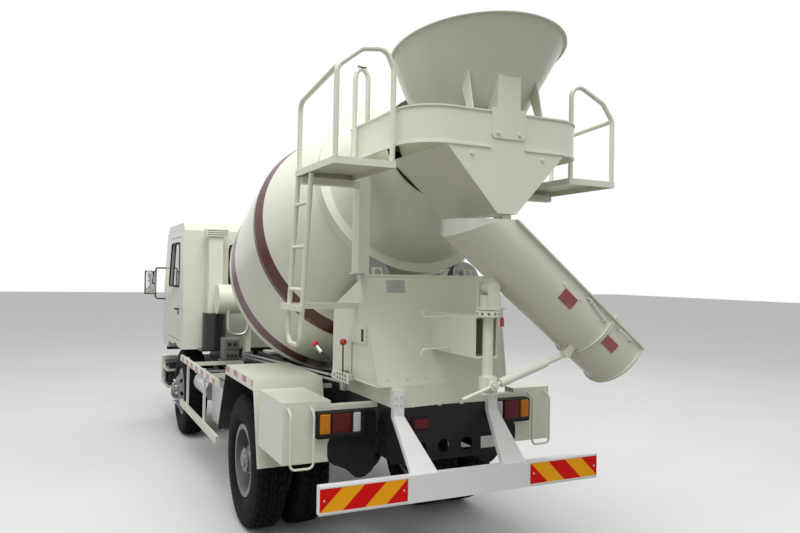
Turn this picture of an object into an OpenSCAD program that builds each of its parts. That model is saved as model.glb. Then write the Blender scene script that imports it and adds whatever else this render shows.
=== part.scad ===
// Concrete mixer truck with a short steep drum, tilt cab, swinging discharge chute and folding chute end.
// Lengths are in millimetres. Places along the truck are measured forward from the rear face of the
// underrun bar, and the whole truck is then moved so that the middle of its length stands at x = 0.
// Y runs to the left, Z up, and the ground is at z = 0.

/* [Wheels and axles] */
// Wheelbase
wheelbase = 3500; // [3300:10:3900]
// Distance from the underrun bar to the rear axle
rear_axle_x = 1820; // [1780:10:1860]
// Outer radius of every tyre
tyre_r = 526; // [500:1:530]
// Width of every tyre
tyre_w = 270; // [240:1:285]
// Radius of the rim's bead seat
rim_r = 258; // [240:1:280]
// Distance between the two tyres of a rear pair
dual_pitch = 325; // [310:1:335]
// Distance from the truck's middle to the outer rear tyre's middle
rear_track_y = 900; // [880:1:915]
// Distance from the truck's middle to the front tyre's middle
front_track_y = 835; // [820:1:850]
// Distance from the truck's middle to the kingpins
kingpin_y = 690; // [680:1:700]

/* [Frame] */
// Height of the top of the frame rails
rail_top = 1040; // [1030:1:1060]
// Height of a frame rail
rail_h = 230; // [200:1:240]
// Distance from the truck's middle to the outer face of a rail
rail_y = 395; // [380:1:400]
// Width of a rail's flanges
rail_flange = 75; // [60:1:85]
// Thickness of the rails
rail_t = 8; // [6:0.5:10]
// Height of the mixer's own rails on the frame
subframe_h = 120; // [110:1:125]

/* [Drum] */
// Angle of the drum's axis
drum_tilt = 22; // [21:0.5:22.5]
// Radius of the drum's barrel
drum_r = 950; // [920:1:955]
// Length of the drum's barrel
barrel_len = 950; // [900:1:980]
// Length of the rear cone
rear_cone_len = 1450; // [1430:1:1460]
// Radius of the drum's mouth
mouth_r = 430; // [410:1:435]
// Length of the front cone
front_cone_len = 500; // [460:1:540]
// Thickness of the drum's shell
drum_wall = 8; // [6:0.5:12]
// Radius of the track ring
ring_r = 700; // [695:1:710]
// Width of the track ring
ring_w = 80; // [60:1:90]
// Radius of the rollers under the track ring
roller_r = 110; // [100:1:115]
// Angle of each roller from the lowest point of the ring
roller_angle = 27; // [24:0.5:27]

/* [Rear stand] */
// Height of the rear panel's top edge
panel_top = 2030; // [2010:1:2040]
// Half width of the rear panel at its top
panel_half_top = 555; // [540:1:565]
// Half width of the rear panel at its fold
panel_half_low = 500; // [480:1:520]
// Top of the walking platforms
platform_top = 2685; // [2670:1:2700]
// Distance from the truck's middle to a platform's outer edge
platform_y = 1016; // [1000:1:1030]
// Top of the guard band round the drum's mouth
band_top = 3000; // [2990:1:3020]
// Height of the guard band
band_h = 220; // [200:1:230]

/* [Chute] */
// Slope of the chute at rest
chute_slope = 38; // [36:0.5:39]
// Radius of the trough
trough_r = 225; // [215:1:230]
// Depth of the trough's straight sides
trough_side = 70; // [60:1:80]
// Length of the main trough below the hinge
trough_len = 740; // [720:1:760]
// Length of the folding end
fold_len = 310; // [290:1:330]
// Thickness of the chute's sheet
chute_t = 5; // [4:0.5:7]

/* [Cab] */
// Half of the cab's width
cab_y = 1030; // [1010:1:1040]
// Height of the cab's roof
cab_top = 2600; // [2560:1:2640]
// Thickness of the cab's walls and doors
cab_wall = 50; // [40:1:55]
// Angle to which a door opens
door_open = 70; // [60:1:75]

/* [Hidden] */
$fn = 48;

// Clearances: still air between moving pieces, between faces that seat, and round a turning shaft
gap = 6;
door_gap = 8;
seat = 0.3;
run = 0.05;
bend_of_bar = 2.2;
bar_sides = 10;
bar_steps = 4;

// Colours as the photograph shows them
cream = [0.86, 0.87, 0.80];
maroon = [0.28, 0.05, 0.05];
black = [0.07, 0.07, 0.08];
steel = [0.55, 0.56, 0.57];

// Places along the truck
front_axle_x = rear_axle_x + wheelbase;
front_x = front_axle_x + 1230;
hopper_rear_x = -550;
mid_x = (front_x + hopper_rear_x) / 2;
cab_back_x = front_axle_x - 540;
cab_front_x = front_axle_x + 1100;
cab_floor = 1150;
axle_z = tyre_r;
rail_bottom = rail_top - rail_h;
subframe_top = rail_top + subframe_h;
rail_rear_x = 370;
rail_front_x = cab_front_x - 50;

// Drum frame: the axis passes through (drum_x, 0, drum_z) where the barrel meets the front cone
drum_x = 2700;
drum_z = 2010;
motor_x = drum_x + 860;
drum_len = barrel_len + rear_cone_len;
ring_s = 1800;
front_flange_s = -front_cone_len - 300;
front_flange_r = 220;
front_dish_r = 700;
mouth_x = drum_x - drum_len * cos(drum_tilt);
mouth_z = drum_z + drum_len * sin(drum_tilt);

// Chute frame: swing axis on the truck's middle, hinge just over the post
post_x = -155;
post_r = 33;
index_z = 1820;
hinge_z = 1960;
hinge_drop = 50;
strut_foot_z = 1372;
strut_head_t = 680;

module shifted() { translate([-mid_x, 0, 0]) children(); }
module both_sides() { children(); mirror([0, 1, 0]) children(); }
module box(x0, x1, y0, y1, z0, z1) { translate([x0, y0, z0]) cube([x1 - x0, y1 - y0, z1 - z0]); }
// A profile drawn in x and z, with its thickness from y0 to y1
module side_sheet(y0, y1) { translate([0, y1, 0]) rotate([90, 0, 0]) linear_extrude(y1 - y0) children(); }
// A profile drawn in y and z, with its thickness from x0 to x1
module cross_sheet(x0, x1) { translate([x0, 0, 0]) rotate([90, 0, 90]) linear_extrude(x1 - x0) children(); }
// A round bar from p to q
module rod(p, q, d) {
    v = q - p;
    length = norm(v);
    translate(p) rotate([0, acos(v[2] / length), atan2(v[1], v[0])]) cylinder(h = length, d = d, $fn = 24);
}
// A bar bent to a round curve at each of its inner points: a ring of points is carried along the path.
// flat is the direction square to the plane in which the bar is bent.
module bent_bar(points, d, flat = [1, 0, 0]) {
    function unit(v) = v / norm(v);
    last = len(points) - 1;
    way = [for (i = [0 : last - 1]) unit(points[i + 1] - points[i])];
    turn = [for (i = [0 : last]) i == 0 || i == last ? 0 : acos(way[i - 1] * way[i])];
    bend = bend_of_bar * d;
    path = [for (i = [0 : last]) let (t = turn[i], n = t == 0 ? 0 : bar_steps)
        for (k = [0 : n]) t == 0 ? [points[i], way[i == 0 ? 0 : i - 1]] :
            let (u = way[i - 1], v = unit(way[i] - u * (u * way[i])), a = t * k / n,
                c = points[i] - u * bend * tan(t / 2) + v * bend)
            [c + bend * (u * sin(a) - v * cos(a)), u * cos(a) + v * sin(a)]];
    rings = [for (p = path) let (e = unit(cross(p[1], flat)), g = cross(p[1], e))
        [for (k = [0 : bar_sides - 1]) p[0] + d / 2 * (e * cos(360 * k / bar_sides) + g * sin(360 * k / bar_sides))]];
    count = len(rings);
    walls = [for (i = [0 : count - 2], k = [0 : bar_sides - 1]) let (m = (k + 1) % bar_sides, b = i * bar_sides)
        [b + k, b + bar_sides + k, b + bar_sides + m, b + m]];
    ends = [[for (k = [0 : bar_sides - 1]) k], [for (k = [bar_sides - 1 : -1 : 0]) (count - 1) * bar_sides + k]];
    polyhedron([for (r = rings, p = r) p], concat(walls, ends));
}
// A cylinder across the truck at height z from y0 to y1
module across(x, y0, y1, z, r) { translate([x, y1, z]) rotate([90, 0, 0]) cylinder(h = y1 - y0, r = r); }
// Local z runs up the drum's axis to the rear, local x points up
module at_drum(s = 0) {
    translate([drum_x, 0, drum_z]) rotate([0, drum_tilt - 90, 0]) translate([0, 0, s]) children();
}

// Frame

module rail() {
    difference() {
        box(rail_rear_x, rail_front_x, rail_y - rail_flange, rail_y, rail_bottom, rail_top);
        box(rail_rear_x - 1, rail_front_x + 1, rail_y - rail_flange - 1, rail_y - rail_t,
            rail_bottom + rail_t, rail_top - rail_t);
    }
}

module frame() color(black) shifted() {
    inner = rail_y - rail_t;
    both_sides() rail();
    for (x = [1300, 2400, 3300, 4250]) box(x, x + rail_t, -inner, inner, rail_bottom + 20, rail_top - 20);
    // Rear cross-member: a channel that closes the rails' ends
    difference() {
        box(stand_x, rail_rear_x, -rail_y, rail_y, rail_bottom - 20, subframe_top);
        for (y = [-180, 0, 180])
            translate([stand_x - 1, y, rail_bottom + 70]) rotate([0, 90, 0]) cylinder(h = 20, r = 45);
    }
    for (z = [rail_bottom - 20, rail_bottom + 160])
        box(rail_rear_x - 1, rail_rear_x + 60, -inner + rail_flange, inner - rail_flange, z, z + rail_t);
    across(tilt_x, -inner, inner, tilt_z, tilt_r);
    for (y = [-rail_y + 10, rail_y - 70])
        box(cab_back_x + 20, cab_back_x + 90, y, y + 60, rail_top, cab_floor - cab_wall - seat);
}

module subframe() color(black) shifted() {
    both_sides() box(rail_rear_x, motor_x + 240, rail_y - 65, rail_y - 5, rail_top, subframe_top);
    for (x = [rail_rear_x, 1200, 3400, motor_x + 160])
        box(x, x + 60, -rail_y + 65, rail_y - 65, rail_top, rail_top + 50);
}

// Axles, springs and driveline

spring_y = rail_y - 50;
spring_w = 70;

leaf_ends = [1, 0.82, 0.64, 0.46];
leaf_flat = 0.14;
leaf_t = 14;

// Stepped side outline of a leaf pack with its middle at x = 0, flat where it is clamped
module leaf_outline(reach, seat_z, end_z) {
    top = seat_z + leaf_t * len(leaf_ends);
    function rise(f) = top + (end_z - seat_z) * pow(max(0, abs(f) - leaf_flat) / (1 - leaf_flat), 2);
    places = concat(leaf_ends, leaf_flat);
    half = [for (i = [0 : len(leaf_ends) - 1], k = [0, 1])
        [places[i + k] * reach, rise(places[i + k]) - leaf_t * (i + 1)]];
    upper = [for (f = places) [f * reach, rise(f)]];
    polygon(concat([for (i = [0 : len(upper) - 1]) [-upper[i][0], upper[i][1]]],
        [for (i = [len(upper) - 1 : -1 : 0]) upper[i]], half,
        [for (i = [len(half) - 1 : -1 : 0]) [-half[i][0], half[i][1]]]));
}

module leaf_pack(reach, seat_z, end_z)
    side_sheet(spring_y - spring_w / 2, spring_y + spring_w / 2) leaf_outline(reach, seat_z, end_z);

// A spring with its hangers under the rail and its clamp over the axle seat
module spring(x, reach, seat_z, end_z) {
    thick = leaf_t * len(leaf_ends);
    translate([x, 0, 0]) leaf_pack(reach, seat_z, end_z);
    for (side = [-1, 1]) {
        edge = x + side * (reach - 20);
        box(edge - 35, edge + 35, spring_y - spring_w / 2, spring_y + spring_w / 2, end_z + 10, rail_bottom);
    }
    box(x - 80, x + 80, spring_y - spring_w / 2 - 10, spring_y + spring_w / 2 + 10,
        seat_z + thick - 1, seat_z + thick + 20);
    for (side = [-1, 1], edge = [-1, 1])
        translate([x + side * 60, spring_y + edge * (spring_w / 2 + 3), seat_z - 30])
            cylinder(h = thick + 50, r = 8);
}

kingpin_r = 20;
beam_eye = 40;
knuckle_ear = 35;
front_seat_z = axle_z + 40;

module front_axle() color(black) shifted() {
    beam = [[645, -40], [608, -40], [560, -60], [430, -115], [-430, -115], [-560, -60],
        [-608, -40], [-645, -40], [-645, 40], [-560, 40],
        [-420, -30], [420, -30], [560, 40], [645, 40]];
    translate([0, 0, axle_z]) difference() {
        cross_sheet(front_axle_x - 42, front_axle_x + 42)
            polygon([for (p = beam) [p[0] * (kingpin_y - 15) / 645, p[1]]]);
        for (side = [-1, 1]) translate([front_axle_x + side * 42, 0, -72])
            cube([50, 760, 50], center = true);
    }
    both_sides() {
        translate([front_axle_x, kingpin_y, axle_z - beam_eye]) cylinder(h = 2 * beam_eye, r = 45);
        translate([front_axle_x, kingpin_y, axle_z - beam_eye - knuckle_ear])
            cylinder(h = 2 * (beam_eye + knuckle_ear), r = kingpin_r - run);
        box(front_axle_x - 60, front_axle_x + 60, spring_y - 45, spring_y + 45, axle_z - 40, front_seat_z);
        spring(front_axle_x, 620, front_seat_z, 720);
    }
}

spindle_r = 45;
rear_inner_y = rear_track_y - dual_pitch;
hub_in = rear_inner_y - tyre_w / 2 + 10;
rear_seat_z = axle_z + 85;

module rear_axle() color(black) shifted() {
    across(rear_axle_x, -hub_in + 20, hub_in - 20, axle_z, 62);
    across(rear_axle_x, -rear_track_y, rear_track_y, axle_z, spindle_r);
    translate([rear_axle_x - 90, 0, axle_z]) rotate([0, 90, 0]) cylinder(h = 180, r = 175);
    translate([rear_axle_x - 140, 0, axle_z]) rotate([0, 90, 0]) cylinder(h = 51, r1 = 90, r2 = 150);
    translate([rear_axle_x + 80, 0, axle_z]) rotate([0, 90, 0]) cylinder(h = 130, r1 = 120, r2 = 60);
    both_sides() {
        across(rear_axle_x, hub_in - 32, hub_in - 8, axle_z, 150);
        box(rear_axle_x - 60, rear_axle_x + 60, spring_y - 45, spring_y + 45, axle_z + 40, rear_seat_z);
        spring(rear_axle_x, 640, rear_seat_z, 730);
        // Brake chamber with its bracket on the axle tube
        box(rear_axle_x - 165, rear_axle_x - 40, 215, 245, axle_z - 30, axle_z + 40);
        for (end = [[-330, 80], [-250, 92], [-235, 80]]) translate([rear_axle_x + end[0], 230, axle_z + 10])
            rotate([0, 90, 0]) cylinder(h = end[1] == 92 ? 16 : 85, r = end[1]);
    }
}

engine_back = front_axle_x - 480;
engine_front = front_axle_x + 330;
gearbox_back = engine_back - 520;
silencer_x = gearbox_back - 700;

module driveline() color(steel) shifted() {
    box(engine_back, engine_front, -270, 270, 570, 1000);
    translate([gearbox_back + 1, 0, 720]) rotate([0, 90, 0]) cylinder(h = 521, r1 = 120, r2 = 200);
    translate([rear_axle_x + 210 + seat, 0, axle_z]) rotate([0, 90, 0]) cylinder(h = 25, r = 60);
    rod([rear_axle_x + 225, 0, axle_z], [gearbox_back + 10, 0, 720], 90);
    translate([silencer_x, -690, 740]) rotate([0, 90, 0]) cylinder(h = 620, r = 115);
    bent_bar([[silencer_x + 610, -690, 740], [silencer_x + 830, -690, 740], [silencer_x + 940, -330, 640],
        [silencer_x + 1030, -235, 640], [engine_back + 10, -235, 640]], 70, [0, 0, 1]);
    box(silencer_x + 280, silencer_x + 320, -rail_y - 200, -rail_y, 840, 880);
}

module fuel_tank() color(steel) shifted() {
    y_in = -rail_y - 30;
    y_out = -980;
    x0 = rear_axle_x + 930;
    long = silencer_x - 110 - x0;
    translate([x0, (y_in + y_out) / 2, 740]) rotate([90, 0, 90]) linear_extrude(long) offset(r = 70, $fn = 32)
        square([y_in - y_out - 140, 400 - 140], center = true);
    translate([x0 + 180, y_out + 130, 930]) cylinder(h = 34, r = 45);
    for (x = [x0 + 130, x0 + long - 170]) {
        box(x, x + 40, y_out - 6, -rail_y, 520, 540);
        box(x, x + 40, y_in, -rail_y, 540, 980);
    }
}

module air_tanks() color(steel) shifted() {
    back = cab_back_x - 1220;
    for (y = [870, 620]) translate([back, y, 800]) rotate([0, 90, 0]) cylinder(h = 700, r = 110);
    for (x = [back + 90, back + 540]) {
        box(x, x + 40, rail_y, 990, 915, 935);
        box(x, x + 40, 840, 900, 905, 916);
        box(x, x + 40, 590, 650, 905, 916);
    }
    box(rear_axle_x + 960, back - 230, rail_y, 960, 560, 930);
}

module side_guards() color(cream) shifted() both_sides() {
    guard_x = [rear_axle_x + 820, cab_back_x - 80];
    for (z = [[985, 1050], [470, 540]]) box(guard_x[0], guard_x[1], fender_y - 30, fender_y, z[0], z[1]);
    for (x = [guard_x[1] - 1300, guard_x[1] - 320]) {
        box(x, x + 45, fender_y - 50, fender_y - 30, 470, 1050);
        box(x, x + 40, rail_y, fender_y - 50, 955, 995);
    }
}

// Wheels: local z points outwards from the middle of the tyre

bead = 0.36 * tyre_w;
disc_face = dual_pitch / 2;

module tyre() {
    rotate_extrude($fn = 96) polygon([[rim_r, -bead], [rim_r + 32, -bead], [rim_r + 75, -tyre_w / 2 + 8],
        [rim_r + 130, -tyre_w / 2], [tyre_r - 75, -tyre_w / 2 + 10], [tyre_r - 22, -tyre_w / 2 + 24],
        [tyre_r - 6, -tyre_w / 2 + 42], [tyre_r, 0], [tyre_r - 6, tyre_w / 2 - 42],
        [tyre_r - 22, tyre_w / 2 - 24], [tyre_r - 75, tyre_w / 2 - 10], [rim_r + 130, tyre_w / 2],
        [rim_r + 75, tyre_w / 2 - 8], [rim_r + 32, bead], [rim_r, bead]]);
}

// Rim with its disc dished towards +z
module rim() {
    barrel = rim_r - seat;
    difference() {
        rotate_extrude($fn = 96) polygon([[barrel, -bead], [rim_r + 26, -bead], [rim_r + 26, -bead - 10],
            [barrel - 14, -bead - 10], [barrel - 14, bead - 20], [200, disc_face - 30], [165, disc_face - 12],
            [110, disc_face - 12], [110, disc_face], [170, disc_face], [212, disc_face - 26],
            [barrel - 12, bead + 10], [rim_r + 26, bead + 10], [rim_r + 26, bead], [barrel, bead]]);
        for (i = [0 : 7]) rotate([0, 0, 45 * i]) translate([203, 0, 0]) cylinder(h = 300, r = 28, $fn = 24);
    }
}

stub_r = 30;
module front_wheel_place() translate([front_axle_x, front_track_y, axle_z]) rotate([-90, 0, 0]) children();
module rear_wheel_place() translate([rear_axle_x, rear_track_y, axle_z]) rotate([-90, 0, 0]) children();

module front_rim() color(cream) shifted() front_wheel_place() {
    rim();
    difference() {
        union() {
            translate([0, 0, -hub_back]) cylinder(h = 110, r = 195);
            translate([0, 0, 40]) cylinder(h = disc_face - 40, r = 110);
            translate([0, 0, disc_face - 24]) cylinder(h = 12, r = 140);
            translate([0, 0, disc_face - 1]) cylinder(h = 40, r1 = 85, r2 = 70);
        }
        translate([0, 0, -80]) cylinder(h = 210, r = stub_r + run);
    }
}

module rear_rims() color(cream) shifted() rear_wheel_place() {
    mirror([0, 0, 1]) rim();
    translate([0, 0, -dual_pitch]) rim();
    drum_start = -(rear_track_y - hub_in);
    difference() {
        union() {
            translate([0, 0, drum_start]) cylinder(h = 190, r = 200);
            translate([0, 0, drum_start + 180]) cylinder(h = -drum_start + 60 - 180, r = 109);
            translate([0, 0, -disc_face - 30]) cylinder(h = 18.5, r = 150);
            translate([0, 0, 59]) cylinder(h = 30, r1 = 100, r2 = 85);
        }
        translate([0, 0, drum_start - 1]) cylinder(h = -drum_start + 21, r = spindle_r + run);
    }
}

module rim_front_left() front_rim();
module rim_front_right() mirror([0, 1, 0]) front_rim();
module tyre_front_left() color(black) shifted() front_wheel_place() tyre();
module tyre_front_right() mirror([0, 1, 0]) tyre_front_left();
module rims_rear_left() rear_rims();
module rims_rear_right() mirror([0, 1, 0]) rear_rims();
module tyres_rear_left() color(black) shifted() rear_wheel_place() {
    tyre();
    translate([0, 0, -dual_pitch]) tyre();
}
module tyres_rear_right() mirror([0, 1, 0]) tyres_rear_left();

// Steering: the arms lie straight back from the kingpins, so the tie rod stays parallel to the axle

arm_x = -155;
arm_low = -75;
rod_low = -108;
knuckle_in = 52;
hub_back = 62;
knuckle_out = front_track_y - kingpin_y - hub_back - gap;

module knuckle_left() color(steel) shifted() translate([front_axle_x, kingpin_y, axle_z]) {
    ear = beam_eye + seat;
    difference() {
        union() {
            for (z0 = [-beam_eye - knuckle_ear, ear]) {
                translate([0, 0, z0]) cylinder(h = knuckle_ear - seat, r = 42);
                box(-42, 42, 0, knuckle_out, z0, z0 + knuckle_ear - seat);
            }
            box(-60, 60, knuckle_in, knuckle_out, -75, 75);
            translate([0, 0, arm_low]) linear_extrude(25)
                polygon([[30, -36], [arm_x + 15, -24], [arm_x - 20, -18],
                    [arm_x - 20, 18], [arm_x + 15, 24], [30, 36]]);
            translate([arm_x, 0, rod_low - 6]) cylinder(h = arm_low - rod_low + 10, r = 10);
        }
        translate([0, 0, -100]) cylinder(h = 200, r = kingpin_r);
    }
    translate([0, knuckle_out - 2, 0]) rotate([-90, 0, 0])
        cylinder(h = front_track_y - kingpin_y + 122 - knuckle_out, r = stub_r);
}
module knuckle_right() mirror([0, 1, 0]) knuckle_left();

module tie_rod() color(steel) shifted() {
    difference() {
        union() {
            across(front_axle_x + arm_x, -kingpin_y, kingpin_y, axle_z + rod_low + 12, 11);
            both_sides() translate([front_axle_x + arm_x, kingpin_y, axle_z + rod_low]) cylinder(h = 24, r = 22);
        }
        both_sides()
            translate([front_axle_x + arm_x, kingpin_y, axle_z + rod_low - 1]) cylinder(h = 30, r = 10 + run);
    }
}

// Mudguards, boxes and rear bar

fender_y = 1060;
fender_in = 520;
fender_top = 1236;
fender_t = 5;
fender_line = [[-630, 620], [-460, fender_top], [430, fender_top], [760, 620]];

module rear_fenders() color(cream) shifted() both_sides() {
    line = [for (p = fender_line) [rear_axle_x + p[0], p[1]]];
    inner = [[line[0][0] + 5, line[0][1]], [line[1][0] + 4, fender_top - fender_t],
        [line[2][0] - 3, fender_top - fender_t], [line[3][0] - 5, line[3][1]]];
    side_sheet(fender_in, fender_y) polygon(concat(line, [for (i = [3 : -1 : 0]) inner[i]]));
    side_sheet(fender_y - fender_t, fender_y)
        polygon([[line[1][0] - 20, fender_top - 82], [line[1][0], fender_top], [line[2][0], fender_top],
            [line[2][0] + 40, fender_top - 82]]);
    for (x = [rear_axle_x - 330, rear_axle_x + 330]) {
        box(x, x + 40, rail_y - 5, 1000, subframe_top - 40, subframe_top - 10);
        box(x, x + 40, fender_in + 20, 1000, subframe_top - 10, fender_top - fender_t);
    }
}

box_x = 600;
box_top = 1190;
box_t = 5;
stand_x = 362;
stand_front = 1200;

module rear_boxes() color(cream) shifted() both_sides() {
    front = rear_axle_x - 640;
    outer = fender_y - 4;
    box(box_x, front, 730, outer, box_top - box_t, box_top);
    box(box_x, box_x + box_t, 730, outer, 790, box_top);
    box(box_x, front, outer - box_t, outer, 790, box_top);
    box(box_x, box_x + 60, rail_y - 5, 731, box_top - 65, box_top - 32);
    bent_bar([[box_x + 2, 1020, 1150], [box_x - 60, 1020, 1120], [box_x - 60, 1020, 770], [box_x - 60, 865, 770],
        [box_x - 60, 865, 1120], [box_x + 2, 865, 1150]], 16);
}

bar_y = 1012;
bar_low = 650;
bar_high = 817;
strut_top_y = [325, 400];
strut_low_y = [240, 420];

module underrun_bar() color(cream) shifted() {
    box(0, 50, -bar_y, bar_y, bar_low, bar_high);
    both_sides() {
        box(stand_x - 40, stand_x, strut_top_y[0], strut_top_y[1], rail_top + 60, 1280);
        hull() {
            box(stand_x - 40, stand_x, strut_top_y[0], strut_top_y[1], rail_top + 60, rail_top + 70);
            box(10, 50, strut_low_y[0], strut_low_y[1], bar_high, bar_high + 2);
        }
    }
}

module tail_lamps() color(black) shifted() {
    both_sides() {
        box(box_x - 55, box_x - 2, 497, 843, 950, 1125);
        // Mudflap behind the wheels, with its inner lower corner cut off
        cross_sheet(box_x - 6, box_x) polygon([[405, 1125], [405, 710], [470, 645], [850, 645], [850, 1125]]);
    }
    box(stand_x - 22, stand_x, 126, 254, 1004, 1083);
}

// Rear stand: a leaning rear panel, side plates, rollers' seats and the two pillars

fold_z = 1300;
panel_lean_x = 560;
panel_t = 6;
rib_y = 250;
side_y = 495;
deck_drop = 65;
pillar_x = [480, 600];
pillar_y = [525, 600];

function panel_x(z) = stand_x + (panel_lean_x - stand_x) * (z - fold_z) / (panel_top - fold_z);

// Middle of a roller in the drum's frame: [up, sideways]
roller_reach = ring_r + roller_r + seat;
roller_up = -roller_reach * cos(roller_angle);
roller_side = roller_reach * sin(roller_angle);
roller_w = 90;
axle_r = 25;
deck_up = roller_up - 165;

module rear_stand() color(cream) shifted() {
    slope = atan((panel_lean_x - stand_x) / (panel_top - fold_z));
    // Leaning panel, drawn flat and then leant forward about the fold
    translate([stand_x, 0, fold_z]) rotate([0, slope, 0]) cross_sheet(0, panel_t)
        polygon([[-panel_half_low, 0], [panel_half_low, 0], [panel_half_top, (panel_top - fold_z) / cos(slope)],
            [-panel_half_top, (panel_top - fold_z) / cos(slope)]]);
    // Base on the mixer's rails
    difference() {
        box(stand_x, stand_front, -400, 400, subframe_top, fold_z);
        box(stand_x + panel_t, stand_front - panel_t, -400 + panel_t, 400 - panel_t,
            subframe_top - 1, fold_z - panel_t);
    }
    both_sides() {
        box(stand_x, stand_front, 399, side_y + panel_t, fold_z - panel_t, fold_z);
        // Side plate, whose top runs along the drum
        side_sheet(side_y - panel_t, side_y) polygon([[stand_x + panel_t + 2, fold_z - 1],
            [panel_x(panel_top) + panel_t, panel_top - 2], [pillar_x[1] + 20, panel_top - 2],
            [stand_front, 1790], [stand_front, fold_z - 1]]);
        box(pillar_x[0] + 82, pillar_x[1] + 20, side_y - panel_t, pillar_y[1] + 10, panel_top - 2, panel_top + 8);
        box(pillar_x[0], pillar_x[1], pillar_y[0], pillar_y[1], panel_top + 7, band_top - 20);
    }
    // Stiffening ribs down the panel and a gusset from it to each side plate
    both_sides() for (y = [rib_y, side_y - panel_t])
        side_sheet(y - panel_t, y) polygon([[stand_x + panel_t, fold_z - 1], [stand_x + panel_t + 60, fold_z - 1],
            [panel_x(panel_top - 120) + panel_t + 2, panel_top - 120]]);
    roller_seats();
}

// Bearing blocks of the rollers on a beam between the side plates
module roller_seats() at_drum(ring_s) {
    for (side = [-1, 1]) translate([roller_up, side * roller_side, 0]) {
        difference() {
            for (end = [-1, 1]) translate([-120, -35, end > 0 ? roller_w / 2 + gap : -roller_w / 2 - gap - 30])
                cube([155, 70, 30]);
            translate([0, 0, -120]) cylinder(h = 240, r = axle_r + run);
        }
    }
    translate([roller_up - 140, -side_y + panel_t - 1, -roller_w / 2 - gap - 40])
        cube([21, 2 * (side_y - panel_t + 1), roller_w + 2 * gap + 80]);
}

module roller() color(steel) shifted() at_drum(ring_s) translate([roller_up, roller_side, 0]) {
    translate([0, 0, -roller_w / 2]) cylinder(h = roller_w, r = roller_r, $fn = 64);
    translate([0, 0, -roller_w / 2 - gap - 30]) cylinder(h = roller_w + 2 * gap + 60, r = axle_r);
}
module roller_left() roller();
module roller_right() mirror([0, 1, 0]) roller();

// Drum

function cone_r(s) = s < barrel_len ? drum_r : drum_r - (drum_r - mouth_r) * (s - barrel_len) / rear_cone_len;

module drum() color(cream) shifted() at_drum() {
    w = drum_wall;
    rotate_extrude($fn = 128) polygon([[0, front_flange_s], [front_flange_r, front_flange_s],
        [front_flange_r + 20, front_flange_s + 50], [front_dish_r * 0.66, -front_cone_len - 190],
        [front_dish_r, -front_cone_len], [drum_r, 0], [drum_r, barrel_len],
        [cone_r(ring_s - ring_w / 2), ring_s - ring_w / 2], [ring_r, ring_s - ring_w / 2],
        [ring_r, ring_s + ring_w / 2], [cone_r(ring_s + ring_w / 2), ring_s + ring_w / 2],
        [mouth_r, drum_len], [mouth_r - w, drum_len], [drum_r - w, barrel_len], [drum_r - w, 0],
        [front_dish_r - w, -front_cone_len + 2], [front_dish_r * 0.66 - w, -front_cone_len - 182],
        [front_flange_r - w, front_flange_s + 60], [0, front_flange_s + 60]]);
    translate([0, 0, front_flange_s - 60]) cylinder(h = 61, r = 60);
}

blade_pitch = 1500;
blade_t = 8;
blade_start = 1250;
blade_turn = 6;

// A blade gets lower where the hopper's spout reaches into the mouth
function blade_h(s) = lookup(s, [[2000, 210], [drum_len, 90]]);

// One blade: a strip standing on the shell's inside that turns while it runs to the mouth
module blade(phase) {
    steps = floor((drum_len - 20 - blade_start) / blade_pitch * 360 / blade_turn);
    ring = [for (i = [0 : steps]) let (s = blade_start + i * blade_turn * blade_pitch / 360,
            a = phase + i * blade_turn, out = cone_r(s) - drum_wall - 3, in = out - blade_h(s))
        [[out * cos(a), out * sin(a), s], [out * cos(a), out * sin(a), s + blade_t],
         [in * cos(a), in * sin(a), s + blade_t], [in * cos(a), in * sin(a), s]]];
    points = [for (r = ring, p = r) p];
    sides = [for (i = [0 : steps - 1], k = [0 : 3]) let (b = 4 * i, n = (k + 1) % 4)
        [b + k, b + n, b + 4 + n, b + 4 + k]];
    tri = [for (q = sides, h = [0, 1]) h == 0 ? [q[0], q[2], q[1]] : [q[0], q[3], q[2]]];
    last = 4 * steps;
    caps = [[0, 1, 2], [0, 2, 3], [last, last + 2, last + 1], [last, last + 3, last + 2]];
    polyhedron(points, concat(tri, caps));
}
module drum_blades() color(steel) shifted() at_drum() for (phase = [0, 180]) blade(phase);

// Front stand with the reducer and its motor

module front_stand() color(cream) shifted() {
    reducer_s = front_flange_s - gap;
    at_drum() difference() {
        union() {
            translate([0, 0, reducer_s - 330]) cylinder(h = 330, r = 250);
            translate([0, 0, reducer_s - 360]) cylinder(h = 31, r = 180);
            translate([0, 0, reducer_s - 560]) cylinder(h = 201, r = 110);
        }
        translate([0, 0, reducer_s - 60]) cylinder(h = 61, r = 60 + run);
    }
    difference() {
        union() {
            box(motor_x, motor_x + 240, -330, 330, subframe_top, subframe_top + 20);
            both_sides() side_sheet(200, 220)
                polygon([[motor_x + 10, subframe_top + 19], [motor_x + 230, subframe_top + 19], [motor_x + 170, 1560],
                    [motor_x, 1560]]);
        }
        at_drum() translate([0, 0, reducer_s - 700]) cylinder(h = 705, r = 249.9);
    }
}

// Guard band, hopper and collector

band_x = -338;
band_y = 620;
band_t = 8;
lip = 8;
plate_y = 120;
band_low = band_top - band_h;

module band_outline(inset) {
    r = 250 - inset;
    back = band_x + inset;
    union() {
        translate([back + r, -band_y + inset + r]) circle(r = r, $fn = 96);
        translate([back + r, band_y - inset - r]) circle(r = r, $fn = 96);
        translate([back + r, -band_y + inset]) square([640 - back - r, 2 * (band_y - inset)]);
        translate([back, -band_y + inset + r]) square([r + 1, 2 * (band_y - inset - r)]);
    }
}

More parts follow.
